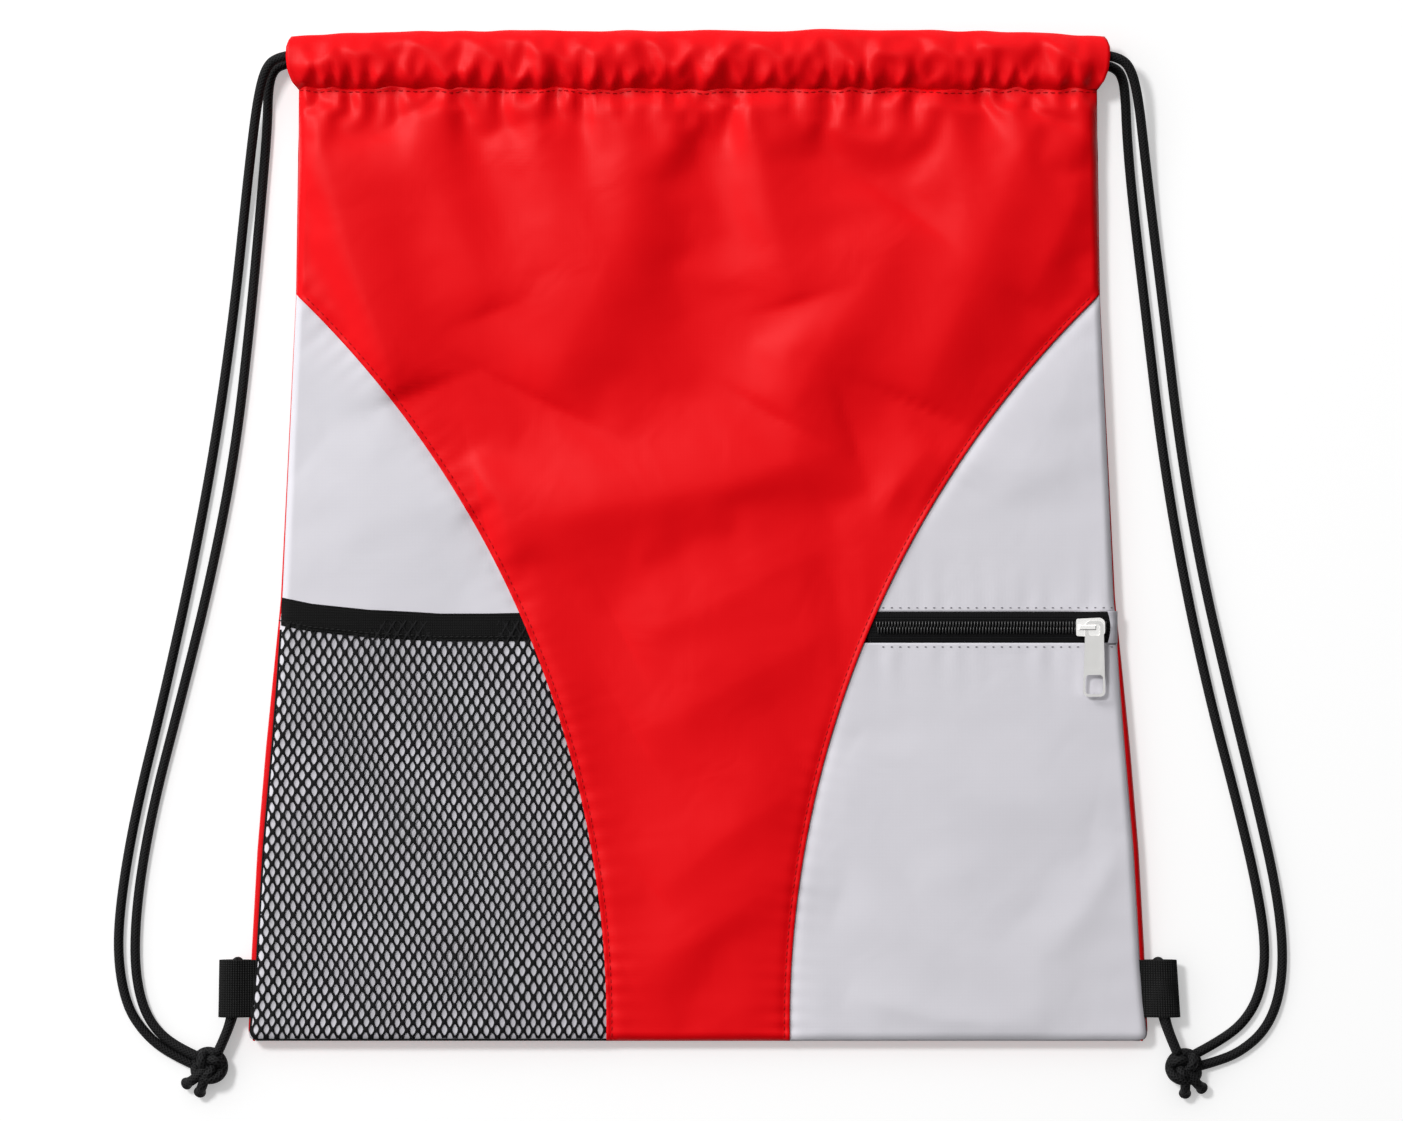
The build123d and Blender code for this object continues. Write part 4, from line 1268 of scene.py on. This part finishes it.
def rib_tree(name, material):
    """Raises cords on a strip, by the strip's own attribute "cord", which counts them across it."""
    tree, given = node_group(name, ["Rib height"])
    count = add_node(tree, "GeometryNodeInputNamedAttribute", {"Name": "cord"}, data_type="FLOAT")
    swell = calc(tree, "COSINE", calc(tree, "MULTIPLY", count.outputs[0], 2 * math.pi))
    high = calc(tree, "MULTIPLY", swell, given["Rib height"])
    push = vector_calc(tree, "SCALE", shape_node(tree, "InputNormal"), high)
    ribs = shape_node(tree, "SetPosition", {0: given["Geometry"], "Offset": push})
    return finish_group(tree, ribs, material)


def ribbed_strip(name, grid, counts, material, height, closed=False, flip=False):
    """A strip of points in mm with ribs along or across it; counts numbers them, by column or by point."""
    rows, columns = grid.shape[:2]
    faces = grid_faces(rows, columns, closed, flip)
    base = mesh_object(name + " base", grid.reshape(-1, 3), faces, material)
    layer = base.data.attributes.new("cord", "FLOAT", "POINT")
    layer.data.foreach_set("value", np.broadcast_to(counts, (rows, columns)).astype(np.float32).ravel())
    return grown(name, base, rib_tree("ribs_of_" + name, material), {"Rib height": height * MM}, material)


# ---- the binding: folded elastic over the net's top edge, with cords along it ----
loop = np.linspace(0, 2 * math.pi, 73)[:-1]
loop_y = 0.5 - 0.5 * np.sign(np.cos(loop)) * np.abs(np.cos(loop)) ** 0.6
loop_z = np.sign(np.sin(loop)) * np.abs(np.sin(loop)) ** 0.7


def binding_wave(x):
    return 0.35 * np.sin(x / 9.0)


grid = []
for along in [-front_edge(-30) - 0.2, *np.linspace(-177.6, -71.8, 110)]:
    top = float(pocket_top(along))
    y = top - BINDING_WIDTH * loop_y
    x = np.maximum(np.minimum(along + 0 * y, -seam_x(y) + 0.6), -front_edge(y) - 0.2)
    net_z = net_height(x, y)
    level = np.interp(y, (top - BINDING_WIDTH, top), (net_z[np.argmin(y)], net_z[np.argmax(y)]))
    z = level - 0.4 + 0.7 * loop_z + binding_wave(along)
    grid.append(stacked(x, y, np.maximum(z, grey_height(x, y) + 0.35)))
binding = ribbed_strip(
    "mesh_pocket_binding_elastic", np.array(grid), loop_y * 11, ELASTIC, 0.11, closed=True, flip=True
)
belongs(binding, "black_elastic", "mesh_pocket_binding")

x = np.linspace(-178.5, -73.5, 160)
y = pocket_top(x) - BINDING_STITCH_DOWN
line = stacked(x, y, net_height(x, y) + 0.42 + binding_wave(x))
stitches("binding_stitching", line, BLACK_THREAD, 2.4, 1.8, "stitch_binding", "black_thread")

# ---------------------------------------------------------------- zip
TAPE_END = 175.8
for label, low, high in (("upper", ZIP_Y + 0.15, ZIP_Y + 9.5), ("lower", ZIP_Y - 9.5, ZIP_Y - 0.15)):
    y, x = np.meshgrid(np.linspace(low, high, 43), np.minimum(np.linspace(72.5, 176.5, 105), TAPE_END))
    away = np.abs(y - ZIP_Y)
    z = 10.15 - 0.5 * smooth((away - 5) / 3) + 0.06 * ruck(x, y, 120, 30)
    z = np.where(away > 6, np.minimum(z, grey_height(x, y) - 0.75), z)
    tape = ribbed_strip(f"zip_tape_{label}", stacked(x, y, z), away / 1.33, TAPE, 0.07)
    add_wall(tape, 0.5)
    belongs(tape, "zip_tape", f"zipper_tape_{label}")


def coil_tree(material):
    """A nylon coil: flattened loops every pitch along a line, each bent round the tape's edge."""
    tree, given = node_group("zip_coil", ("Pitch", "Loop width", "Loop height", "Wire"))
    dots = spaced_points(tree, given)
    ring = shape_node(tree, "CurvePrimitiveCircle", {"Resolution": 14, "Radius": 0.5})
    upright = shape_node(tree, "Transform", {"Geometry": ring, "Rotation": (0.0, math.pi / 2, 0.0)})
    size = combined(tree, 1.0, given["Loop width"], given["Loop height"])
    oval = shape_node(tree, "Transform", {"Geometry": upright, "Scale": size})
    wire = shape_node(tree, "CurvePrimitiveCircle", {"Resolution": 7, "Radius": given["Wire"]})
    solid = shape_node(tree, "CurveToMesh", {0: oval, 1: wire})
    loops = shape_node(tree, "InstanceOnPoints", {"Points": dots[0], "Instance": solid})
    return finish_group(tree, loops, material)


coils = coil_tree(NYLON)
COIL_Z = 11.35
COIL_SIZES = {"Pitch": 1.3 * MM, "Loop width": 2.7 * MM, "Loop height": 1.25 * MM, "Wire": 0.31 * MM}
for label, y, shift in (("upper", ZIP_Y + 1.15, 0.0), ("lower", ZIP_Y - 1.15, 0.65)):
    base = edge_line("coil line", [(76.2 + shift, y, COIL_Z), (174.0, y, COIL_Z)])
    coil = grown(f"zip_coil_{label}", base, coils, COIL_SIZES, NYLON)
    belongs(coil, "zip_teeth", f"zipper_coil_{label}")

# A tab of the grey cloth closes the tape's end beside the seam.
u, v = np.meshgrid(np.linspace(0, 1, 14), np.linspace(-1, 1, 30))
x = 174.6 + 1.3 * (1 - v**2)
x = x + (178.7 - x) * u
z = 11.1 - 2.4 * u**3 + 0.15 * np.sin(2.4 * math.pi * v + 1.0) * (1 - u)
end_tab = cloth_from_grid("zip_end_tab_cloth", stacked(x, ZIP_Y + 6.9 * v, z), GREY_LINING, flip=True)
belongs(end_tab, "grey_polyester", "zipper_end_tab")

# ---------------------------------------------------------------- webbing tabs
TAB_TOP = -181.0
TAB_LENGTH = 24.5
RIB_PITCH = 1.05
# Section of a tab, from the side seam out round the cord and back under it.
TAB_SECTION = (
    (186.5, 8.5), (189.5, 8.9), (192.0, 9.5), (194.5, 10.3), (197.0, 11.0), (199.5, 11.1),
    (202.0, 10.5), (203.9, 9.3), (204.5, 7.6), (203.8, 6.0), (202.0, 5.0), (199.5, 4.6),
    (197.0, 4.6), (194.5, 4.9), (192.0, 5.3), (189.5, 5.6), (186.5, 5.8),
)

section = np.array(TAB_SECTION)
run = np.concatenate([[0], np.cumsum(np.linalg.norm(np.diff(section, axis=0), axis=1))])
fine = np.linspace(0, run[-1], 150)
tab_x, tab_z = (np.interp(fine, run, section[:, axis]) for axis in (0, 1))
for _ in range(5):
    for values in (tab_x, tab_z):
        values[1:-1] = (values[:-2] + 2 * values[1:-1] + values[2:]) / 4
# Each tab hangs a little askew, the right one more.
for side, label, skew in ((-1, "left", 0.4), (1, "right", 1.6)):
    grid = []
    for share in np.linspace(0, 1, 40):
        x = side * (tab_x + skew * share * smooth((tab_x - 188) / 10))
        grid.append(stacked(x, 0 * x + TAB_TOP - TAB_LENGTH * share, tab_z))
    name = f"webbing_tab_{label}_strap"
    tab = ribbed_strip(name, np.array(grid), fine / RIB_PITCH, WEBBING, 0.13, flip=side > 0)
    add_wall(tab, 1.1)
    belongs(tab, "black_webbing", f"webbing_tab_{label}")

# ---------------------------------------------------------------- what each cord is
for side, knot in knots.items():
    belongs(knot, "black_cord", f"knot_{side}")
for name, obj in cords.items():
    belongs(obj, "black_cord", name)
    line = cord_lines[name] * MM

# ---------------------------------------------------------------- CAD pieces that show as they are
for name, material in (
    ("zip_slider", ZINC),
    ("zip_puller", ZINC),
    ("drawcord_left_tunnel", CORD),
    ("drawcord_right_tunnel", CORD),
):
    cad[name].data.materials.clear()
    cad[name].data.materials.append(material)
